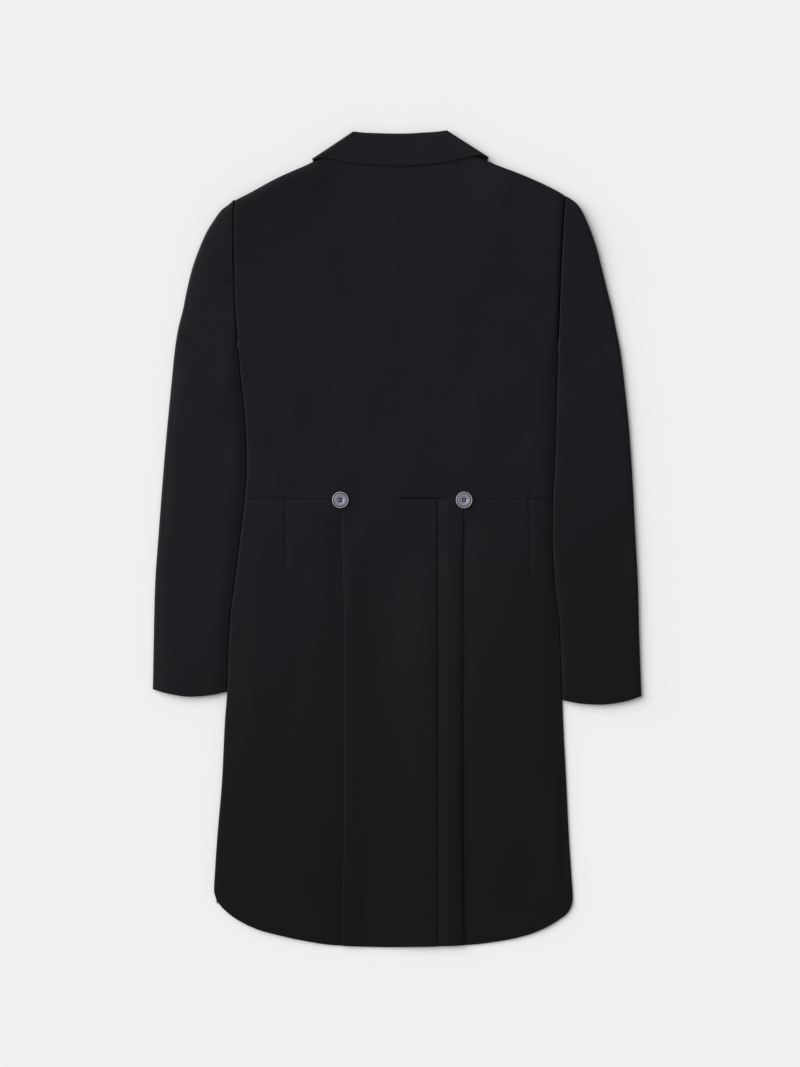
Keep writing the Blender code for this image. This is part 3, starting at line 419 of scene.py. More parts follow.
def pressedRelief(x, y):
    # each crease is a bell across its line, faded at both ends; slow waves lie under them
    relief = 0.22 * np.sin(x / 31 + 0.9 * np.sin(y / 57)) * np.sin(y / 43 + 1.3 * np.sin(x / 71 + 0.4))
    relief = relief + 0.16 * np.sin(x / 17.3 + y / 49 + 1.1) * np.sin(y / 23.7 - x / 83)
    for (x0, y0), (x1, y1), halfWidth, height in pressing["creases"]:
        dx, dy = x1 - x0, y1 - y0
        length = math.hypot(dx, dy)
        along = ((x - x0) * dx + (y - y0) * dy) / length
        off = ((x - x0) * dy - (y - y0) * dx) / length + 0.05 * halfWidth * np.sin(along / 19)
        fadeIn = ease(along, -0.5 * halfWidth, 0.16 * length)
        fadeOut = ease(along, length + 0.5 * halfWidth, 0.8 * length)
        relief = relief + height * np.exp(-((off / halfWidth) ** 2)) * fadeIn * fadeOut
    for (x0, y0), (x1, y1), width, drop in pressing["darts"]:
        beside = x - x0 - (x1 - x0) * (y - y0) / (y1 - y0)
        step = ease(beside, -0.3, 0.3) * np.exp(-np.maximum(beside, 0) / width)
        relief = relief - drop * step * ease(y, y1, y1 + 60) * (y < y0)
    return relief


# Materials

def linearOf(hexColour):
    # sRGB hex to linear RGBA
    channels = [int(hexColour[i:i + 2], 16) / 255 for i in (1, 3, 5)]
    return tuple(c / 12.92 if c <= 0.04045 else ((c + 0.055) / 1.055) ** 2.4 for c in channels) + (1.0,)


def addNode(tree, kind, settings=(), inputs=(), links=()):
    # one node: its properties, the values of its sockets, and the outputs of other nodes that feed it
    node = tree.nodes.new(kind)
    for name, value in dict(settings).items():
        setattr(node, name, value)
    for name, value in dict(inputs).items():
        node.inputs[name].default_value = value
    for name, source in dict(links).items():
        tree.links.new(source, node.inputs[name])
    return node


def newMaterial(name, **sockets):
    made = bpy.data.materials.new(name)
    made.use_nodes = True
    shader = made.node_tree.nodes["Principled BSDF"]
    for socket, value in sockets.items():
        shader.inputs[socket.replace("_", " ")].default_value = value
    return made, made.node_tree, shader


# Colours are sRGB, the rib's pitch is in millimetres, and both heights are in metres
woolLook = {
    "dark": "#0e0c11", "pale": "#19161d", "roughness": 0.56, "specular": 0.13,
    # the last value on the next line is the painted shade: how dark the cloth is painted at the hem and on
    # the wearer's right
    "sheen": 0.05, "sheenRoughness": 0.4, "sheenTint": "#b9b4c6", "paintedShadeAtHem": 0.5,
    "ribPitch": 1.3, "ribHeight": 0.00005, "napHeight": 0.00007,
}


def wovenWool():
    # Black wool barathea, fulled and pressed: a matt near-black with a faint slanting rib and a short nap
    # that catches light where the cloth turns away. Real ribs are 0.6 mm apart; these are wider, to show.
    look = woolLook
    made, tree, shader = newMaterial(
        "black wool barathea", Roughness=look["roughness"], Specular_IOR_Level=look["specular"],
        Sheen_Weight=look["sheen"], Sheen_Roughness=look["sheenRoughness"],
        Sheen_Tint=linearOf(look["sheenTint"]))
    threads = addNode(tree, "ShaderNodeUVMap", {"uv_map": "threads"})
    slanted = addNode(tree, "ShaderNodeMapping", inputs={"Rotation": (0, 0, math.radians(63))},
                      links={"Vector": threads.outputs["UV"]})
    ribs = addNode(tree, "ShaderNodeTexWave", {"wave_type": "BANDS", "bands_direction": "X"},
                   {"Scale": 0.314 / look["ribPitch"], "Distortion": 0.5, "Detail": 1.0,
                    "Detail Scale": 3.0}, {"Vector": slanted.outputs["Vector"]})
    nap = addNode(tree, "ShaderNodeTexNoise", {}, {"Scale": 0.9, "Detail": 4.0, "Roughness": 0.7},
                  {"Vector": threads.outputs["UV"]})
    cloudy = addNode(tree, "ShaderNodeTexNoise", {}, {"Scale": 0.02, "Detail": 2.0, "Roughness": 0.4},
                     {"Vector": threads.outputs["UV"]})
    tone = addNode(tree, "ShaderNodeMath", {"operation": "MULTIPLY_ADD"}, {1: 0.45},
                   {0: ribs.outputs["Fac"], 2: nap.outputs["Fac"]})
    mixed = addNode(tree, "ShaderNodeMath", {"operation": "MULTIPLY_ADD", "use_clamp": True}, {1: 0.8},
                    {0: tone.outputs[0], 2: cloudy.outputs["Fac"]})
    spreadTone = addNode(tree, "ShaderNodeMapRange", {}, {"From Min": 0.4, "From Max": 1.9},
                         {"Value": mixed.outputs[0]})
    colour = addNode(tree, "ShaderNodeMix", {"data_type": "RGBA"},
                     {6: linearOf(look["dark"]), 7: linearOf(look["pale"])},
                     {0: spreadTone.outputs["Result"]})
    # painted shade: the colour darkens slowly from the waist to the hem and towards the wearer's right,
    # away from the window light, standing in for light that falls off there
    place = addNode(tree, "ShaderNodeTexCoord")
    along = addNode(tree, "ShaderNodeVectorMath", {"operation": "DOT_PRODUCT"}, {1: (-0.45, 1.0, 0.0)},
                    {0: place.outputs["Object"]})
    paintedShade = addNode(tree, "ShaderNodeMapRange", {"interpolation_type": "SMOOTHSTEP"},
                    {"From Min": -0.52, "From Max": 0.12, "To Min": look["paintedShadeAtHem"], "To Max": 1.0},
                    {"Value": along.outputs["Value"]})
    withPaintedShade = addNode(tree, "ShaderNodeVectorMath", {"operation": "SCALE"}, {},
                     {"Vector": colour.outputs[2], "Scale": paintedShade.outputs["Result"]})
    tree.links.new(withPaintedShade.outputs["Vector"], shader.inputs["Base Color"])
    ribBump = addNode(tree, "ShaderNodeBump", {}, {"Strength": 0.5, "Distance": look["ribHeight"]},
                      {"Height": ribs.outputs["Fac"]})
    napBump = addNode(tree, "ShaderNodeBump", {}, {"Strength": 0.6, "Distance": look["napHeight"]},
                      {"Height": nap.outputs["Fac"], "Normal": ribBump.outputs["Normal"]})
    tree.links.new(napBump.outputs["Normal"], shader.inputs["Normal"])
    return made


liningLook = {"dark": "#0e0d10", "pale": "#1d1b21", "roughness": 0.38, "specular": 0.35, "streak": 0.00004}


def satinLining():
    # Black viscose satin, ironed: smoother and glossier than the wool, with a fine crosswise streak
    look = liningLook
    made, tree, shader = newMaterial("black viscose lining", Roughness=look["roughness"],
                                     Specular_IOR_Level=look["specular"])
    threads = addNode(tree, "ShaderNodeUVMap", {"uv_map": "threads"})
    streaked = addNode(tree, "ShaderNodeMapping", inputs={"Scale": (0.05, 1.6, 1.0)},
                       links={"Vector": threads.outputs["UV"]})
    streaks = addNode(tree, "ShaderNodeTexNoise", {}, {"Scale": 1.0, "Detail": 3.0},
                      {"Vector": streaked.outputs["Vector"]})
    colour = addNode(tree, "ShaderNodeMix", {"data_type": "RGBA"},
                     {6: linearOf(look["dark"]), 7: linearOf(look["pale"])}, {0: streaks.outputs["Fac"]})
    tree.links.new(colour.outputs[2], shader.inputs["Base Color"])
    bump = addNode(tree, "ShaderNodeBump", {}, {"Strength": 0.3, "Distance": look["streak"]},
                   {"Height": streaks.outputs["Fac"]})
    tree.links.new(bump.outputs["Normal"], shader.inputs["Normal"])
    return made


buttonLook = {
    # the rim and groove colours below are painted light: a highlight for the rim and a shade for the groove
    "dark": "#4a4a5e", "pale": "#9a9aae", "rim": "#a2a2a6", "groove": "#1d1d24", "roughness": 0.3,
    # where the two painted rings begin, the painted shade in the groove and the painted highlight on the
    # rim, as parts of the radius
    "rings": ((0.785, 0.80, "groove"), (0.87, 0.885, "rim")),
}


def turnedCorozo():
    # Grey corozo, turned and polished: a soft gloss with clouded lighter and darker grain
    look = buttonLook
    made, tree, shader = newMaterial("polished grey corozo", Roughness=look["roughness"],
                                     Specular_IOR_Level=0.5, Coat_Weight=0.35, Coat_Roughness=0.12)
    place = addNode(tree, "ShaderNodeTexCoord")
    grain = addNode(tree, "ShaderNodeTexNoise", {},
                    {"Scale": 260.0, "Detail": 5.0, "Roughness": 0.6, "Distortion": 1.5},
                    {"Vector": place.outputs["Object"]})
    colour = addNode(tree, "ShaderNodeMix", {"data_type": "RGBA"},
                     {6: linearOf(look["dark"]), 7: linearOf(look["pale"])}, {0: grain.outputs["Fac"]})
    # the rim is painted paler, a painted highlight on its raised bead, and the turned groove inside the rim
    # is painted darker, a painted shade in its hollow
    ring = addNode(tree, "ShaderNodeUVMap", {"uv_map": "ring"})
    part = addNode(tree, "ShaderNodeSeparateXYZ", links={"Vector": ring.outputs["UV"]})
    for sooner, later, tone in look["rings"]:
        reached = addNode(tree, "ShaderNodeMapRange", {}, {"From Min": sooner, "From Max": later},
                          {"Value": part.outputs["X"]})
        colour = addNode(tree, "ShaderNodeMix", {"data_type": "RGBA"}, {7: linearOf(look[tone])},
                         {0: reached.outputs["Result"], 6: colour.outputs[2]})
    tree.links.new(colour.outputs[2], shader.inputs["Base Color"])
    turned = addNode(tree, "ShaderNodeBump", {}, {"Strength": 0.15, "Distance": 0.00005},
                     {"Height": grain.outputs["Fac"]})
    tree.links.new(turned.outputs["Normal"], shader.inputs["Normal"])
    return made


threadLook = {"dark": "#0b0a0c", "pale": "#1b191d", "roughness": 0.6, "specular": 0.3}


def sewingThread():
    # Black waxed polyester thread, plied and waxed: matt, with a slanting ply along it
    look = threadLook
    made, tree, shader = newMaterial("black waxed thread", Roughness=look["roughness"],
                                     Specular_IOR_Level=look["specular"])
    place = addNode(tree, "ShaderNodeTexCoord")
    ply = addNode(tree, "ShaderNodeTexWave", {"bands_direction": "DIAGONAL"},
                  {"Scale": 700.0, "Distortion": 1.0}, {"Vector": place.outputs["Object"]})
    colour = addNode(tree, "ShaderNodeMix", {"data_type": "RGBA"},
                     {6: linearOf(look["dark"]), 7: linearOf(look["pale"])}, {0: ply.outputs["Fac"]})
    tree.links.new(colour.outputs[2], shader.inputs["Base Color"])
    return made


wool, lining, corozo, thread = wovenWool(), satinLining(), turnedCorozo(), sewingThread()
print("materials made")


# Meshes from grids

def gridFaces(rows, columns):
    index = np.arange(rows * columns).reshape(rows, columns)
    corners = index[:-1, :-1], index[1:, :-1], index[1:, 1:], index[:-1, 1:]
    return np.stack(corners, axis=-1).reshape(-1, 4)


def tubeFaces(index):
    # faces of a grid whose last column meets its first
    after = np.roll(index, -1, axis=1)
    return np.stack([index[:-1], index[1:], after[1:], after[:-1]], axis=-1).reshape(-1, 4)


def addPiece(name, points, faces, materials, materialOf=None, uvName=None, uvOf=None, sharp=None):
    # points are in millimetres, faces are lists, and the map has a row for each point
    mesh = bpy.data.meshes.new(name)
    mesh.from_pydata((np.asarray(points) * mm).tolist(), [], faces)
    for each in materials:
        mesh.materials.append(each)
    if materialOf is not None:
        mesh.polygons.foreach_set("material_index", np.asarray(materialOf, np.int32))
    if uvName is not None:
        corner = np.empty(len(mesh.loops), np.int32)
        mesh.loops.foreach_get("vertex_index", corner)
        layer = mesh.uv_layers.new(name=uvName)
        layer.uv.foreach_set("vector", uvOf[corner].astype(np.float32).ravel())
    mesh.shade_smooth()
    if sharp is not None:
        mesh.set_sharp_from_angle(angle=math.radians(sharp))
    mesh.update()
    piece = bpy.data.objects.new(name, mesh)
    bpy.context.collection.objects.link(piece)
    return piece


def arcLength(points, axis):
    # distance along the grid from its first row or column, in the same shape as the grid
    step = np.linalg.norm(np.diff(points, axis=axis), axis=2)
    zero = np.zeros_like(np.take(step, [0], axis=axis))
    return np.concatenate([zero, np.cumsum(step, axis=axis)], axis=axis)


def edgeRoll(points, rolled):
    # quarter round at the named edges: how far the face falls back there
    down, across = arcLength(points, 0), arcLength(points, 1)
    distances = {"top": down, "bottom": down[-1:] - down, "inner": across, "outer": across[:, -1:] - across}
    drop = np.zeros(points.shape[:2])
    for edge in rolled:
        t = np.clip(distances[edge] / pressing["edgeWidth"], 0.0, 1.0)
        drop = np.maximum(drop, 1.0 - np.sqrt(1.0 - (1.0 - t) ** 2))
    return drop


def cloth(name, side, grid, wall, facesUpAt, cut, lined=True, rolled=("top", "bottom", "inner", "outer"),
          straightGrain=True, edgeDrop=0.16):
    # closed wall of cloth: outer points, rolled at the edges, and inner points a wall behind them
    w, y, z = grid
    outer = np.stack([signOf[side] * w, y, z], axis=2)
    normal = np.cross(np.gradient(outer, axis=0), np.gradient(outer, axis=1))
    normal /= np.linalg.norm(normal, axis=2, keepdims=True)
    turned = normal[facesUpAt][2] < 0
    if turned:
        normal = -normal
    # only faces that look up, and stand clear of the floor, are pressed in relief
    free = ease(normal[..., 2], 0.15, 0.8) * ease(z, 1.2 * layers["wall"], 2.5 * layers["wall"])
    outer[..., 2] += pressedRelief(outer[..., 0], outer[..., 1]) * free
    inner = outer - normal * np.broadcast_to(wall, w.shape)[..., None]
    # the inner face reaches across half of the seam, so that neighbours meet below a narrow groove
    edges = ((np.s_[0], np.s_[1]), (np.s_[-1], np.s_[-2]),
             (np.s_[:, 0], np.s_[:, 1]), (np.s_[:, -1], np.s_[:, -2]))
    for edge, before in edges:
        outward = outer[edge] - outer[before]
        inner[edge] += 1.05 * layers["seam"] * outward / np.linalg.norm(outward, axis=-1, keepdims=True)
    outer = outer - normal * edgeDrop * edgeRoll(outer, rolled)[..., None]
    rows, columns = w.shape
    count = rows * columns
    if straightGrain:
        step = np.hypot(np.diff(w, axis=1), np.diff(z, axis=1))
        across = np.concatenate([np.zeros((rows, 1)), np.cumsum(step, axis=1)], axis=1)
        threads = np.stack([w[:, :1] + across, y], axis=2)
    else:
        threads = np.stack([arcLength(outer, 1), arcLength(outer, 0)], axis=2)
    index = np.arange(count).reshape(rows, columns)
    rim = np.concatenate([index[:, 0], index[-1, 1:], index[-2::-1, -1], index[0, -2:0:-1]])
    following = np.roll(rim, -1)
    front = gridFaces(rows, columns)
    sides = np.stack([rim, rim + count, following + count, following], axis=-1)
    faces = np.concatenate([front, front[:, ::-1] + count, sides])
    if turned:
        faces = faces[:, ::-1]
    materialOf = np.concatenate([np.zeros(len(front)), np.full(len(front), int(lined)), np.zeros(len(rim))])
    points = np.concatenate([outer.reshape(-1, 3), inner.reshape(-1, 3)])
    piece = addPiece(name, points, faces.tolist(), [wool, lining], materialOf, "threads",
                     np.tile(threads.reshape(-1, 2), (2, 1)), sharp=50)
    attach(piece, "root")
    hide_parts(cut["node"])
    return piece


def cutOf(name, cuts, side):
    # this side's piece of a pair
    return {"node": name + "_" + side, "flat": cuts["flat"], "area": cuts["area"][side],
            "restsOn": cuts["restsOn"][side]}


# Back and tail

backCut = {"flat": (0.30, 1.07), "area": {"left": 0.150, "right": 0.125}, "restsOn": {
    "left": ["forepart_left", "lapel_left", "skirt_left", "back_right"],
    "right": ["forepart_right", "lapel_right", "skirt_right"]}}


def seamSamples(side, offset):
    return shifted(pathThrough(plan["backSeam"][side])(spread(400, 4.5)), offset)


def makeBack(side):
    sign, turned, radius, turnedDepth = signOf[side], 13, foldRadii["pleat"], 20.0
    mainColumns = np.concatenate([np.array(edgeSteps) / 120, refined((0.06, 0.98), 0.018)])
    u = np.concatenate([mainColumns, 0.98 + 0.02 * np.arange(1, turned + 1) / turned])
    seam, hook = layers["seam"], plan["hook"]
    centre = sign * plan["centre"] + seam
    torsoEnd = hook + 3.4

    # torso: a patch between the shoulder, the centre seam, the armhole with the side seam, and the waist
    shoulderY, cornerY = plan["shoulder"][side][-1][1], plan["backSeam"][side][0][1]
    armholeY = shoulderY - (shoulderY - cornerY) * spread(83, 4.5)[:-1]
    armhole = np.stack([sideLine[side](armholeY) - seam, armholeY], axis=1)
    seamLine = seamSamples(side, seam)
    above = seamLine[:, 1] > torsoEnd + 1.0
    seamLine = np.concatenate([seamLine[above], [(seamLine[-1, 0], torsoEnd)]])
    seamLine[0, 0] = sideLine[side](cornerY) - seam
    outer = np.concatenate([armhole, seamLine])
    v = lengthAlong(outer) / lengthAlong(outer)[-1]
    top = pathThrough(plan["shoulder"][side])(u)
    top[0, 0], top[-1] = centre, outer[0]
    inner = np.stack([np.full(len(v), centre), top[0, 1] + (torsoEnd - top[0, 1]) * v], axis=1)
    bottom = inner[-1] + (outer[-1] - inner[-1]) * u[:, None]
    torso = patchBetween(top, bottom, inner, outer, u, v)
    torsoW, torsoY = torso[..., 0], torso[..., 1]
    height = torsoHeight(torsoW, torsoY, side)
    torsoZ = roundOver(height, 0.5 * height + 1.2, np.linalg.norm(torso - torso[:1], axis=2))
    torsoWall = layers["wall"] + padWall(torsoW, torsoY, side)

    # tail: level rows from the vent to the pleat, where the edge turns under
    first = {"left": (hook + 0.35, hook, hook - 0.3, hook - 0.8),
             "right": (hook + 2.8, hook + 2.1, hook + 1.4, hook + 0.6)}
    levelRows = refined((51.0, 49.5, 46.0, 34.0, plan["tailEnd"][0]), 4.8)
    rowY = np.concatenate([first[side], levelRows, endRows(plan["tailEnd"], 4.5)])
    fold = pleatLine[side](rowY) - seam
    innerW = np.full(len(rowY), centre)
    if side == "left":
        corner = plan["ventCorner"]
        fromHook = np.clip(hook - rowY, 0.0, corner)
        rounded = corner - plan["vent"] - np.sqrt(corner**2 - (corner - fromHook) ** 2)
        innerW = np.where(rowY < hook + 0.1, rounded, centre)
    grow, growDown = (ease(rowY, *passes[name])[:, None] for name in ("pleatTurns", "pleatDrops"))
    flatW = fold[:, None] - 0.12 * np.arange(turned - 1, -1, -1)
    runEnd = np.minimum(flatW[:, 0] - 0.3, fold - radius * grow[:, 0] - 0.1)
    mainW = innerW[:, None] + (runEnd - innerW)[:, None] * (mainColumns / mainColumns[-1])
    tailTop = {"left": lambda w, y: tailHeight(w, y, "left"), "right": rightTailHeight}[side]
    mainZ = tailTop(mainW, overRows(rowY, len(mainColumns)))
    flatZ = tailTop(flatW, overRows(rowY, turned))
    lowZ = pleatBase(rowY, side) + layers["wall"] + layers["pleatGap"]
    roundW, roundZ = foldRound(fold, radius, tailTop(fold - radius, rowY), lowZ, turned - 4)
    returnW = fold[:, None] - radius - (turnedDepth - radius) * np.linspace(0, 1, 4)
    turnedW = flatW + (np.concatenate([roundW, returnW], axis=1) - flatW) * grow
    turnedZ = flatZ + (np.concatenate([roundZ, overRows(lowZ, 4)], axis=1) - flatZ) * growDown
    tailW, tailZ = np.concatenate([mainW, turnedW], axis=1), np.concatenate([mainZ, turnedZ], axis=1)
    tailY = toEdge(overRows(rowY, len(u)), hemLine(sign * tailW), plan["tailEnd"])

    grid = [np.concatenate(pair) for pair in ((torsoW, tailW), (torsoY, tailY), (torsoZ, tailZ))]
    wall = np.concatenate([torsoWall, np.full(tailW.shape, layers["wall"])])
    return cloth("backPanel" + side.title(), side, grid, wall, (40, 20), cutOf("back", backCut, side))


# Side bodies

sideBodyCut = {"flat": (0.15, 0.33), "area": {"left": 0.0285, "right": 0.030},
               "restsOn": {"left": ["forepart_left"], "right": ["forepart_right"]}}


def stripStart(y, side):
    # seam between side body and forepart; above its end it keeps to the side fold
    atFold = bodyEdge(y, side) - foldRadii["body"][side] - 2.0
    return np.minimum(underarmSeam[side](y), atFold)


def makeSideBody(side):
    seam = layers["seam"]
    inner = seamSamples(side, -seam)
    inner[-1, 1] = plan["waist"] + seam
    along = lengthAlong(inner)
    v, u = along / along[-1], spread(110, 4.0)
    topY = plan["backSeam"][side][0][1] - 7
    keys = [topY, topY - 27, topY - 59, 262, 250, 240, 229, 212, 180, 145, 112, 88, 64, inner[-1, 1]]
    edgeY = np.interp(v, np.linspace(0, 1, len(keys)) ** 1.12, keys)
    armhole = sideLine[side](edgeY) - seam
    belowArm = ease(edgeY, plan["underarm"], plan["underarm"] - 9)
    outer = np.stack([armhole + (stripStart(edgeY, side) - seam - armhole) * belowArm, edgeY], axis=1)
    top = inner[0] + (outer[0] - inner[0]) * u[:, None]
    bottom = inner[-1] + (outer[-1] - inner[-1]) * u[:, None]
    body = patchBetween(top, bottom, inner, outer, u, v)
    w, y = body[..., 0], body[..., 1]
    wall = layers["wall"] + padWall(w, y, side)
    return cloth("sideBodyPanel" + side.title(), side, [w, y, torsoHeight(w, y, side)], wall, (40, 12),
                 cutOf("side_body", sideBodyCut, side))


# Foreparts

forepartCut = {"flat": (0.27, 0.47), "area": {"left": 0.093, "right": 0.089}, "restsOn": {
    "left": ["floor", "lapel_left", "front_button"], "right": ["floor", "lapel_right", "forepart_left"]}}


def makeForepart(side):
    strip, turn = 12, 10
    sign, radius = signOf[side], foldRadii["body"][side]
    topY = plan["shoulder"][side][-1][1] - 0.9
    keys = [plan["waist"] + layers["seam"], 54, 64, 88, 112, 229, 240, 250, 262, 370]
    outY = refined(keys + [topY - 9, topY - 4.5, topY], 5.0)
    v = (outY - outY[0]) / (outY[-1] - outY[0])
    edge = bodyEdge(outY, side)
    closed = ease(outY, plan["underarm"] + 9, plan["underarm"] - 2)
    count = strip + 1 + turn
    narrow = 3.4 / count

    # face on the floor, with columns that keep beside the edge of the lapel
    start = edge - radius * closed - narrow * count * (1 - closed)
    foot = plan["lapelFoot"]
    innerY = outY + (plan["collarTop"] - topY) * np.clip((outY - foot) / (topY - foot), 0, 1) ** 2
    innerW = sign * plan["centre"] - frontEdge(innerY)
    beside = []
    for distance in (17.0, 4.0):
        part = np.full(len(v), 0.5)
        for _ in range(4):
            place = lapelEdge(outY + (innerY - outY) * part) + distance + sign * plan["centre"]
            part = (start - place) / (start - innerW)
        beside.append(part[:, None])
    far, near = beside
    part = np.concatenate([far * np.linspace(0, 1, 18), far + (near - far) * np.linspace(0, 1, 6)[1:],
                           near + (1 - near) * np.linspace(0, 1, 18)[1:]], axis=1)
    w = start[:, None] + (innerW - start)[:, None] * part
    y = outY[:, None] + (innerY - outY)[:, None] * part
    y = y + (shoulderLine[side](w[-1]) - 0.9 - y[-1]) * v[:, None] ** 3
    middle = 0.5 * torsoHeight(w, y, side) - 1.6
    z = roundOver(frontLift(w, y, side), middle, np.hypot(w - w[-1:], y - y[-1:]))
    floorWall = layers["wall"] + padWall(w, y, side)

    # strip on the upper side and the turn of the fold, narrow on the floor above the underarm
    run = edge - radius
    seam = stripStart(outY, side) + layers["seam"]
    stripW = seam[:, None] + (run - seam)[:, None] * np.arange(strip) / strip
    runZ = torsoHeight(run, outY, side)
    turnW, turnZ = foldRound(edge, radius, runZ, 0.0, turn)
    sinks = 0.5 * ease(outY, *passes["stripSinks"])[:, None]
    stripZ = torsoHeight(stripW, overRows(outY, strip), side) - sinks
    aroundW = np.concatenate([stripW, run[:, None], turnW], axis=1)
    aroundZ = np.concatenate([stripZ, runZ[:, None], turnZ], axis=1)
    flatW = edge[:, None] - narrow * np.arange(count)
    sideW = flatW + (aroundW - flatW) * closed[:, None]
    sideZ = z[:, :1] + (aroundZ - z[:, :1]) * closed[:, None]
    grid = [np.concatenate(pair, axis=1) for pair in ((sideW, w), (overRows(outY, count), y), (sideZ, z))]
    wall = np.concatenate([np.full(sideW.shape, layers["wall"]), floorWall], axis=1)
    return cloth("forepartPanel" + side.title(), side, grid, wall, (4, 2),
                 cutOf("forepart", forepartCut, side))


# Skirts

skirtCut = {
    "flat": (0.42, 0.59), "area": {"left": 0.164, "right": 0.147},
    "restsOn": {"left": ["floor"], "right": ["floor", "skirt_left"]},
    # where the columns are closer for the dart, as parts of the way from the pleat to the fold
    "dartColumns": {"left": (0.545, 0.615), "right": (0.738, 0.766)},
}


def makeSkirt(side):
    hidden, turn = 6, 12
    sign, topY, seam = signOf[side], plan["waist"] - layers["seam"], layers["seam"]
    radius = foldRadii["body"][side]
    v = spread(588, 5.0)[:, None]

    # upper side, from the pleat to the fold; each column runs to its own place on the hem
    dartFrom, dartTo = skirtCut["dartColumns"][side]
    part = np.unique(np.concatenate([np.linspace(0, 1, 45), np.arange(dartFrom, dartTo, 0.0032)]))
    lowPleat = pleatLine[side](plan["hemAtPleat"])
    lowFold = bodyEdge(plan["hemAtFold"], side) - radius
    runY = topY + (hemLine(sign * (lowPleat + (lowFold - lowPleat) * part)) - topY) * v
    pleat, fold = pleatLine[side](runY) + seam, bodyEdge(runY, side)
    runW = pleat + (fold - radius - pleat) * part

    # pleat extension: narrow at the waist, then out under the tail
    underY = np.repeat(runY[:, :1], hidden, axis=1)
    grow = ease(runY[:, :1], *passes["underLapGrows"])
    flatW = pleat[:, :1] + np.arange(hidden + 1) / hidden
    reachW = pleat[:, :1] - layers["pleatDepth"] * np.arange(hidden, -1, -1) / hidden
    firstW = flatW + (reachW - flatW) * grow
    runW = np.maximum(runW, firstW[:, -1:] + 0.12 * np.arange(len(part)))
    underW = firstW[:, :-1]
    underZ = skirtHeight(np.maximum(underW, pleat[:, :1] - seam), underY, side)
    runZ = skirtHeight(runW, runY, side)

    # turn of the side fold
    angle = np.linspace(math.pi / 2, -math.pi / 2, turn + 2)[1:-1]
    turnY = topY + (hemLine(sign * (lowFold + radius * np.cos(angle))) - topY) * v
    turnStart = bodyEdge(turnY, side) - radius
    turnW = turnStart + radius * np.cos(angle)
    turnZ = skirtHeight(turnStart, turnY, side) * 0.5 * (1 + np.sin(angle))

    # face on the floor, out to the cutaway edge
    table = ((52, 1.085), (40, 0.997)) + plan["cutaway"][2:] + ((-482, 0.0),)
    at = np.concatenate([np.linspace(0, 1.6, 26), np.linspace(1.6, len(table) - 1, 20)[1:]])
    inward = np.interp(at, np.arange(len(table)), [row[1] for row in table])[::-1]
    endY = np.minimum(np.interp(at, np.arange(len(table)), [row[0] for row in table])[::-1], topY - 9.0)
    floorY = topY + (endY - topY) * v
    floorFold = bodyEdge(floorY, side) - radius
    floorW = floorFold - (floorFold - sign * plan["centre"]) * inward
    lifted = ease(fromMiddle(floorW, side), *passes["frontLapAcross"])
    floorZ = lap * lifted if side == "right" else 0.0 * lifted

    grid = [np.concatenate(parts, axis=1) for parts in (
        (underW, runW, turnW, floorW), (underY, runY, turnY, floorY), (underZ, runZ, turnZ, floorZ))]
    return cloth("skirtPanel" + side.title(), side, grid, layers["wall"], (30, 26),
                 cutOf("skirt", skirtCut, side))


# Sleeves

onFloor = {"left": ["floor"], "right": ["floor"]}
topSleeveCut = {"flat": (0.22, 0.68), "area": {"left": 0.0635, "right": 0.0645}, "restsOn": onFloor,
                "head": {"left": 445.8, "right": 450.4}}
underSleeveCut = {"flat": (0.13, 0.57), "area": {"left": 0.058, "right": 0.059}, "restsOn": onFloor}
sleeveRows = refined((342, 332, 318, 300, 280, 264, 252, 240, plan["cuffEnd"][0]), 5.0)
cuffRows = endRows(plan["cuffEnd"], 5.0)


def sleeveHeight(w, y, side):
    # level with the body at the shoulder, rolled down to its own two folds
    sinks = layers["sleeveSinks"] * ease(y, plan["underarm"], 190)
    level = layers["torso"] + shoulderRise(w, y, side) - sinks
    inside = rollDown(w - sideLine[side](y) - layers["sideGap"], y, rolls["sleeveInside"][side])
    outside = rollDown(sleeveFold[side](y) - w, y, rolls["sleeveOutside"][side])
    return level - inside - outside


def toCuff(w, rowY, side):
    return toEdge(overRows(rowY, w.shape[1]), cuffLine[side](w), plan["cuffEnd"])


def forearmSeam(y, side):
    armhole = sideLine[side](y) + layers["seam"]
    inside = sideLine[side](y) + layers["sideGap"] + layers["underForearm"]
    return armhole + (inside - armhole) * ease(y, *passes["forearmOpens"])


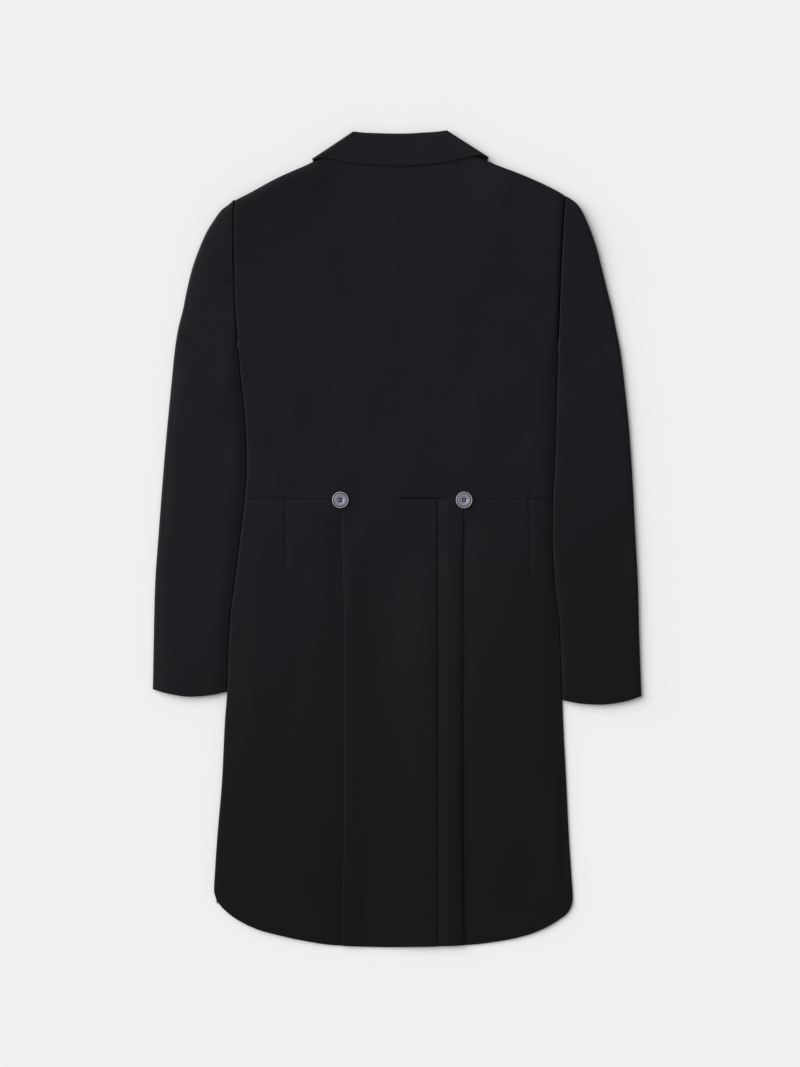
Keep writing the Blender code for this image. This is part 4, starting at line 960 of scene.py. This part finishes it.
def makeTopSleeve(side):
    run, turn, under = 22, 11, 16
    headY = topSleeveCut["head"][side]
    headRows = headY - np.array([0, 0.8, 1.8, 3, 5, 8, 12])
    rowY = np.concatenate([headRows, refined((headY - 16, 342.6), 4.5), sleeveRows, cuffRows])
    edge = sleeveFold[side](rowY)
    armhole = sideLine[side](rowY) + layers["seam"]
    radius = np.minimum(foldRadii["sleeveOutside"], 0.4 * (edge - armhole))
    runEnd = edge - radius
    seam = np.where(rowY > sleeveRows[0], armhole, hindarmSeam[side](rowY) + layers["seam"])
    seam = np.minimum(seam, runEnd - 1.6)
    runW = seam[:, None] + (runEnd - seam)[:, None] * np.linspace(0, 1, run + 1) ** 1.5
    full = sleeveHeight(runW, overRows(rowY, run + 1), side)
    eased = np.sqrt(1 - (1 - np.clip((headY + 4 - rowY) / 16, 0, 1)) ** 2)[:, None]
    runZ = full * (0.5 + 0.5 * eased)
    lowZ = 0.5 * full[:, -1] * (1 - eased[:, 0])
    underEnd = forearmSeam(rowY, side) + layers["seam"] * ease(rowY, *passes["forearmOpens"])
    underW = runEnd[:, None] + (underEnd - runEnd)[:, None] * np.linspace(0, 1, under)
    turnW, turnZ = foldRound(edge, radius, runZ[:, -1], lowZ, turn)
    w = np.concatenate([runW, turnW, underW], axis=1)
    z = np.concatenate([runZ, turnZ, overRows(lowZ, under)], axis=1)

    def padding(partW):
        fromFold = ease(runEnd[:, None] - partW, *passes["outerPad"])
        return padWall(partW, overRows(rowY, partW.shape[1]), side) * fromFold

    wall = layers["wall"] + np.concatenate([padding(runW), 0 * turnW, padding(underW)], axis=1)
    return cloth("topSleevePanel" + side.title(), side, [w, toCuff(w, rowY, side), z], wall, (60, 1),
                 cutOf("top_sleeve", topSleeveCut, side), lined=False, edgeDrop=0.12)


def makeUnderSleeve(side):
    turn, under, narrow = 11, 4, 0.14
    rowY = np.concatenate([[342, 341.4, 340.6, 339.4, 337.8, 335.6], sleeveRows[1:], cuffRows])
    edge = sleeveFold[side](rowY)
    atSeam = np.minimum(hindarmSeam[side](rowY) + layers["seam"], edge - foldRadii["sleeveOutside"] - 1.6)
    radius = foldRadii["sleeveInside"][side]
    seam = atSeam - 2 * layers["seam"]
    closed = ease(rowY, *passes["insideFoldOpens"])[:, None]
    count = turn + under
    flatEnd, fold = sideLine[side](rowY) + layers["seam"], sideLine[side](rowY) + layers["sideGap"]
    flatW = flatEnd[:, None] + narrow * np.arange(count - 1, -1, -1)
    runEnd = flatEnd + narrow * count
    runEnd = runEnd + (fold + radius - runEnd) * closed[:, 0]
    across = np.concatenate([np.array(edgeSteps) / 70, refined((0.1, 1.0), 0.045)])
    runW = seam[:, None] + (runEnd - seam)[:, None] * across
    run = len(across)
    runZ = sleeveHeight(runW, overRows(rowY, run), side)
    mirrored, turnZ = foldRound(-fold, radius, runZ[:, -1], 0.0, turn)
    lowStart = fold + radius
    lowEnd = np.maximum(forearmSeam(rowY, side) - layers["seam"], lowStart + 1.0)
    lowW = lowStart[:, None] + (lowEnd - lowStart)[:, None] * np.linspace(0, 1, under)
    aroundW = np.concatenate([-mirrored, lowW], axis=1)
    aroundZ = np.concatenate([turnZ, np.zeros(lowW.shape)], axis=1)
    flatZ = sleeveHeight(flatW, overRows(rowY, count), side)
    w = np.concatenate([runW, flatW + (aroundW - flatW) * closed], axis=1)
    z = np.concatenate([runZ, flatZ + (aroundZ - flatZ) * closed], axis=1)
    padding = padWall(runW, overRows(rowY, run), side)
    padding = padding * ease(runW - runEnd[:, None], *passes["innerPad"])
    wall = layers["wall"] + np.concatenate([padding, np.zeros(flatW.shape)], axis=1)
    return cloth("underSleevePanel" + side.title(), side, [w, toCuff(w, rowY, side), z], wall, (60, 10),
                 cutOf("under_sleeve", underSleeveCut, side), lined=False, edgeDrop=0.12)


# Lapels

lapelCut = {
    "flat": (0.13, 0.35), "area": {"left": 0.0225, "right": 0.0225}, "restsOn": onFloor, "height": 340.0,
    # upper edge: y at three parts of the way from the roll line to the outer edge
    "top": ((0, 0.566, 1.0), (460, 437, 451.5)),
}


def makeLapel(side):
    u, v = spread(110, 4.5), spread(340, 4.5)[:, None]
    foot = plan["lapelFoot"]
    y = foot + (np.interp(u, *lapelCut["top"]) - foot) * v
    roll = 0.6 - frontEdge(y)
    fromRoll = roll + (lapelEdge(foot + lapelCut["height"] * v) - 1.0 - roll) * u
    grid = [fromRoll + signOf[side] * plan["centre"], y, np.full(y.shape, layers["wall"])]
    return cloth("lapelPanel" + side.title(), side, grid, layers["wall"], (20, 10),
                 cutOf("lapel", lapelCut, side), lined=False, rolled=())


# Collar

collarShape = {
    # depth of its turn over the shoulder, at four parts of the way from its edge to its crease
    "turn": ((0.0, 0.3, 0.7, 1.0), (2.2, 4.0, 4.0, 0.6)),
    "ridge": {"left": ((-112.5, 500.4), (-58.5, 536.5)), "right": ((120.8, 502.7), (65.7, 538.0))},
    "gorge": {"left": ((-83.5, 439.4), (-38.5, 461.2)), "right": ((92.5, 439.4), (47.5, 461.2))},
    "fall": ((-111.3, 498.6), (-102, 500.8), (-86, 499.7), (-70, 496.3), (-46, 493.4), (-7, 491.0),
             (9, 491.0), (41, 493.2), (56, 494.8), (72, 497.3), (88, 501.2), (104, 504.8),
             (112, 505.0), (119.5, 501.4)),
    "crease": ((-58.5, 536.5), (-30, 534.5), (4, 533.8), (40, 535.5), (65.7, 538)),
    "standNeck": ((-72, 513), (-30, 510), (4, 509), (40, 510), (79, 513.4)),
    "standCrease": ((-55, 531), (-30, 529.5), (4, 529), (40, 530), (62, 532)),
    "cut": {"node": "collar", "flat": (0.40, 0.075), "area": 0.0188,
            "restsOn": ["back_left", "back_right", "collar_stand"]},
    "standCut": {"node": "collar_stand", "flat": (0.16, 0.025), "area": 0.0028,
                 "restsOn": ["back_left", "back_right"]},
}


def collarHeight(x, y):
    under = np.where(x < 0, torsoHeight(-x, y, "left"), torsoHeight(x, y, "right"))
    return under + lap + 0.3


def collarEnd(side, across):
    # leaf on the chest, then the turn over the shoulder
    outer, crease = np.array(collarShape["ridge"][side])
    gorgeOuter, gorgeCrease = np.array(collarShape["gorge"][side])
    outward = np.array([-(crease - outer)[1], (crease - outer)[0]])
    outward *= np.sign(outward[1]) / np.linalg.norm(outward)
    depth = np.interp(across, *collarShape["turn"])[:, None]
    turnStart = outer + (crease - outer) * across[:, None] - depth * outward
    gorge = gorgeOuter + (gorgeCrease - gorgeOuter) * across[:, None]
    leaf = gorge[:, None] + (turnStart - gorge)[:, None] * spread(60, 5.0)[None, :, None]
    angle = np.linspace(-math.pi / 2, math.pi / 2, 14)[1:-1]
    turn = turnStart[:, None] + depth[:, None] * outward * np.cos(angle)[None, :, None]
    level = collarHeight(turnStart[:, 0], turnStart[:, 1])[:, None]
    z = np.concatenate([np.zeros(leaf.shape[:2]), level / 2 * (1 + np.sin(angle))], axis=1)
    return np.concatenate([leaf, turn], axis=1), z, turnStart


def makeCollar():
    across = spread(44, 2.6)
    creaseDrop = np.interp(across, (0, 0.8, 0.87, 0.96, 1.0), (0, 0, 0.2, 1.1, 3.2))[:, None]
    left, leftZ, leftEnd = collarEnd("left", across)
    right, rightZ, rightEnd = collarEnd("right", across)
    part = np.linspace(0, 1, 70)
    low, high = pathThrough(collarShape["fall"])(part), pathThrough(collarShape["crease"])(part)
    middle = low[None] + (high - low)[None] * across[:, None, None]
    toLeft = ease(part, 0.25, 0.0)[None, :, None] * (leftEnd[:, None] - middle[:, :1])
    toRight = ease(part, 0.75, 1.0)[None, :, None] * (rightEnd[:, None] - middle[:, -1:])
    middle = middle + toLeft + toRight
    creaseDrop = creaseDrop * ease(np.abs(part - 0.5), 0.5, 0.38)
    middleZ = collarHeight(middle[..., 0], middle[..., 1]) - creaseDrop
    shape = np.concatenate([left, middle, right[:, ::-1]], axis=1)
    z = np.concatenate([leftZ, middleZ, rightZ[:, ::-1]], axis=1)
    return cloth("collarFall", "right", [shape[..., 0], shape[..., 1], z], layers["wall"], (8, 65),
                 collarShape["cut"], lined=False, rolled=("top", "inner", "outer"), straightGrain=False)


def makeCollarStand():
    part, across = spread(150, 5.0), spread(24, 4.0)[:, None, None]
    low, high = pathThrough(collarShape["standNeck"])(part), pathThrough(collarShape["standCrease"])(part)
    shape = low[None] + (high - low)[None] * across
    z = np.full(shape.shape[:2], layers["torso"] - 1.9)
    return cloth("collarStandBand", "right", [shape[..., 0], shape[..., 1], z], layers["wall"], (8, 16),
                 collarShape["standCut"], lined=False, rolled=(), straightGrain=False)


# Buttons

buttonSizes = {
    "radius": 10.8, "height": 3.4, "frontHeight": 1.2, "holeRadius": 1.05, "holeAway": 1.6,
    "holeDepth": 0.8, "threadRadius": 0.34, "threadApart": 0.33,
    "turn": {"left": 0.06, "right": -0.04, "front": 0.2},
    "place": {"left": (-74.9, 50.8), "right": (88.1, 50.8), "front": (4.5, 78.0)},
    "node": {"left": "waist_button_left", "right": "waist_button_right", "front": "front_button"},
    # profile from the middle to the edge and round to the underside: part of the radius, part of the height
    "profile": (
        (0.0, 0.58), (0.16, 0.60), (0.34, 0.66), (0.46, 0.80), (0.54, 0.88), (0.74, 0.91), (0.785, 0.85),
        (0.80, 0.50), (0.86, 0.44), (0.88, 0.84), (0.90, 0.97), (0.93, 1.0), (0.96, 0.96), (0.985, 0.85),
        (1.0, 0.68), (0.995, 0.45), (0.96, 0.25), (0.88, 0.08), (0.72, 0.0), (0.4, 0.0), (0.0, 0.0)),
}


def turnedBy(angle):
    return np.array([[math.cos(angle), -math.sin(angle)], [math.sin(angle), math.cos(angle)]])


def makeButton(name, which, base, height):
    # the profile turned round its middle; the upper face sinks in four wells, where the thread goes through
    sizes, columns, wellRings, upperRings = buttonSizes, 128, 34, 50
    place, away = sizes["place"][which], sizes["holeAway"]
    profile = np.array(sizes["profile"])
    at = lengthAlong(profile * (1.0, 0.3))
    fine = np.concatenate([np.linspace(0, at[3], wellRings), np.linspace(at[3], at[-1], 56)[1:]])
    radial = np.interp(fine, at, profile[:, 0])[:, None] * sizes["radius"]
    level = np.interp(fine, at, profile[:, 1])[:, None] * height
    angle = np.linspace(0, 2 * math.pi, columns, endpoint=False)[None]
    x, y = radial * np.cos(angle), radial * np.sin(angle)
    z = np.repeat(level, columns, axis=1)
    upper = (np.arange(len(fine)) < upperRings)[:, None]
    nearest = np.hypot(np.abs(x) - away, np.abs(y) - away)
    well = ease(nearest, sizes["holeRadius"] + 0.18, sizes["holeRadius"] - 0.12) * upper
    z = z - well * sizes["holeDepth"] * z
    flat = np.stack([x, y], axis=2) @ turnedBy(sizes["turn"][which]).T + place
    points = np.concatenate([flat, (z + base)[..., None]], axis=2)[1:-1].reshape(-1, 3)
    index = np.arange(len(points)).reshape(-1, columns)
    after = np.roll(index, -1, axis=1)
    quads = tubeFaces(index)
    # the middle of the upper face and of the underside close the rings
    topFan = np.stack([np.full(columns, len(points)), index[0], after[0]], axis=-1)
    lowFan = np.stack([np.full(columns, len(points) + 1), after[-1], index[-1]], axis=-1)
    points = np.concatenate([points, [(*place, base + level[0, 0])], [(*place, base)]])
    # the floors of the wells take the black thread's material: partly the thread and black cloth seen
    # through the holes, partly painted shade in the holes
    inWell = (well[1:-1] > 0.6).ravel()
    materialOf = np.concatenate([inWell[quads].all(axis=1), np.zeros(2 * columns)])
    outward = np.concatenate([np.repeat(radial[1:-1] / sizes["radius"], columns), [0.0, 0.0]])
    button = addPiece(name, points, quads.tolist() + topFan.tolist() + lowFan.tolist(), [corozo, thread],
                      materialOf, "ring", np.stack([outward, 0 * outward], axis=1))
    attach(button, "root")
    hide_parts(sizes["node"][which])
    return button


def makeButtonThread(name, which, base, height):
    # tubes along arches: two level stitches of two threads, dipping into the wells at their ends
    sizes, corners = buttonSizes, 10
    away, apart = sizes["holeAway"], sizes["threadApart"]
    t = np.linspace(-1, 1, 25)[:, None]
    ring = np.linspace(0, 2 * math.pi, corners, endpoint=False)[None, :, None]
    along, arch = t * away, 0.62 * height + 0.3 * (1 - np.abs(t) ** 3) - 1.5 * np.abs(t) ** 9
    slopeUp = np.gradient(arch[:, 0], along[:, 0])[:, None]
    tangent = np.concatenate([np.ones_like(t), 0 * t, slopeUp], axis=1)
    tangent /= np.linalg.norm(tangent, axis=1, keepdims=True)
    sideways = np.array([0.0, 1.0, 0.0])
    rise = np.cross(tangent, sideways)[:, None]
    around = sizes["threadRadius"] * (np.cos(ring) * sideways + np.sin(ring) * rise)
    points, faces = np.empty((0, 3)), []
    for row in (-away - apart, -away + apart, away - apart, away + apart):
        tube = np.concatenate([along, row + 0 * t, arch], axis=1)[:, None] + around
        index = len(points) + np.arange(len(t) * corners).reshape(-1, corners)
        faces += tubeFaces(index).tolist() + [index[0].tolist(), index[-1, ::-1].tolist()]
        points = np.concatenate([points, tube.reshape(-1, 3)])
    points[:, :2] = points[:, :2] @ turnedBy(sizes["turn"][which]).T + sizes["place"][which]
    points[:, 2] += base
    stitches = addPiece(name, points, faces, [thread])
    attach(stitches, "root")
    return stitches


for side in signOf:
    makeBack(side)
    makeSideBody(side)
    makeForepart(side)
    makeSkirt(side)
    makeTopSleeve(side)
    makeUnderSleeve(side)
    makeLapel(side)
print("panels made")
makeCollar()
makeCollarStand()
print("collar made")

waistBase = layers["torso"] + 0.1
for side in signOf:
    makeButton("waistButton" + side.title(), side, waistBase, buttonSizes["height"])
    makeButtonThread("waistStitch" + side.title(), side, waistBase, buttonSizes["height"])
makeButton("frontButton", "front", 0.0, buttonSizes["frontHeight"])
print("buttons made")


# Floor, light and camera

studio = {
    "floor": "#f4f4f4", "floorHalf": 4000.0, "floorLevel": -0.2,
    "daylight": 0.42, "keyStrength": 3.25, "keyFrom": (-0.74, 0.40, 0.52), "keyAngle": 60.0,
}


def makeStudio():
    # Painted board: flat and even, with no gloss
    made, tree, shader = newMaterial("painted studio board", Roughness=0.9, Specular_IOR_Level=0.0,
                                     Base_Color=linearOf(studio["floor"]))
    half, level = studio["floorHalf"], studio["floorLevel"]
    corners = [(-half, -half, level), (half, -half, level), (half, half, level), (-half, half, level)]
    addPiece("floor", corners, [(0, 1, 2, 3)], [made])
    key = bpy.data.lights.new("window light", "SUN")
    key.energy, key.angle = studio["keyStrength"], math.radians(studio["keyAngle"])
    lamp = bpy.data.objects.new("window light", key)
    lamp.rotation_euler = Vector(studio["keyFrom"]).to_track_quat("Z", "Y").to_euler()
    bpy.context.collection.objects.link(lamp)
    world = bpy.data.worlds.new("studio")
    world.use_nodes = True
    world.node_tree.nodes["Background"].inputs["Color"].default_value = (1.0, 1.0, 1.0, 1.0)
    world.node_tree.nodes["Background"].inputs["Strength"].default_value = studio["daylight"]
    bpy.context.scene.world = world
    bpy.context.scene.view_settings.view_transform = "Standard"


# width of the view in metres and its middle; lens and sensor in millimetres
photograph = {
    "across": 1.056, "picture": (800, 1067), "middle": (0.0036, 0.0066), "lens": 100.0, "sensor": 36.0,
}


def makeCamera():
    # straight down; the sensor's long side spans the picture's height
    tall = photograph["across"] * photograph["picture"][1] / photograph["picture"][0]
    data = bpy.data.cameras.new("camera")
    data.lens, data.sensor_width, data.sensor_fit = photograph["lens"], photograph["sensor"], "AUTO"
    data.clip_end = 20.0
    camera = bpy.data.objects.new("camera", data)
    camera.location = (*photograph["middle"], tall * photograph["lens"] / photograph["sensor"])
    bpy.context.collection.objects.link(camera)
    bpy.context.scene.camera = camera


makeStudio()
makeCamera()
print("studio made")
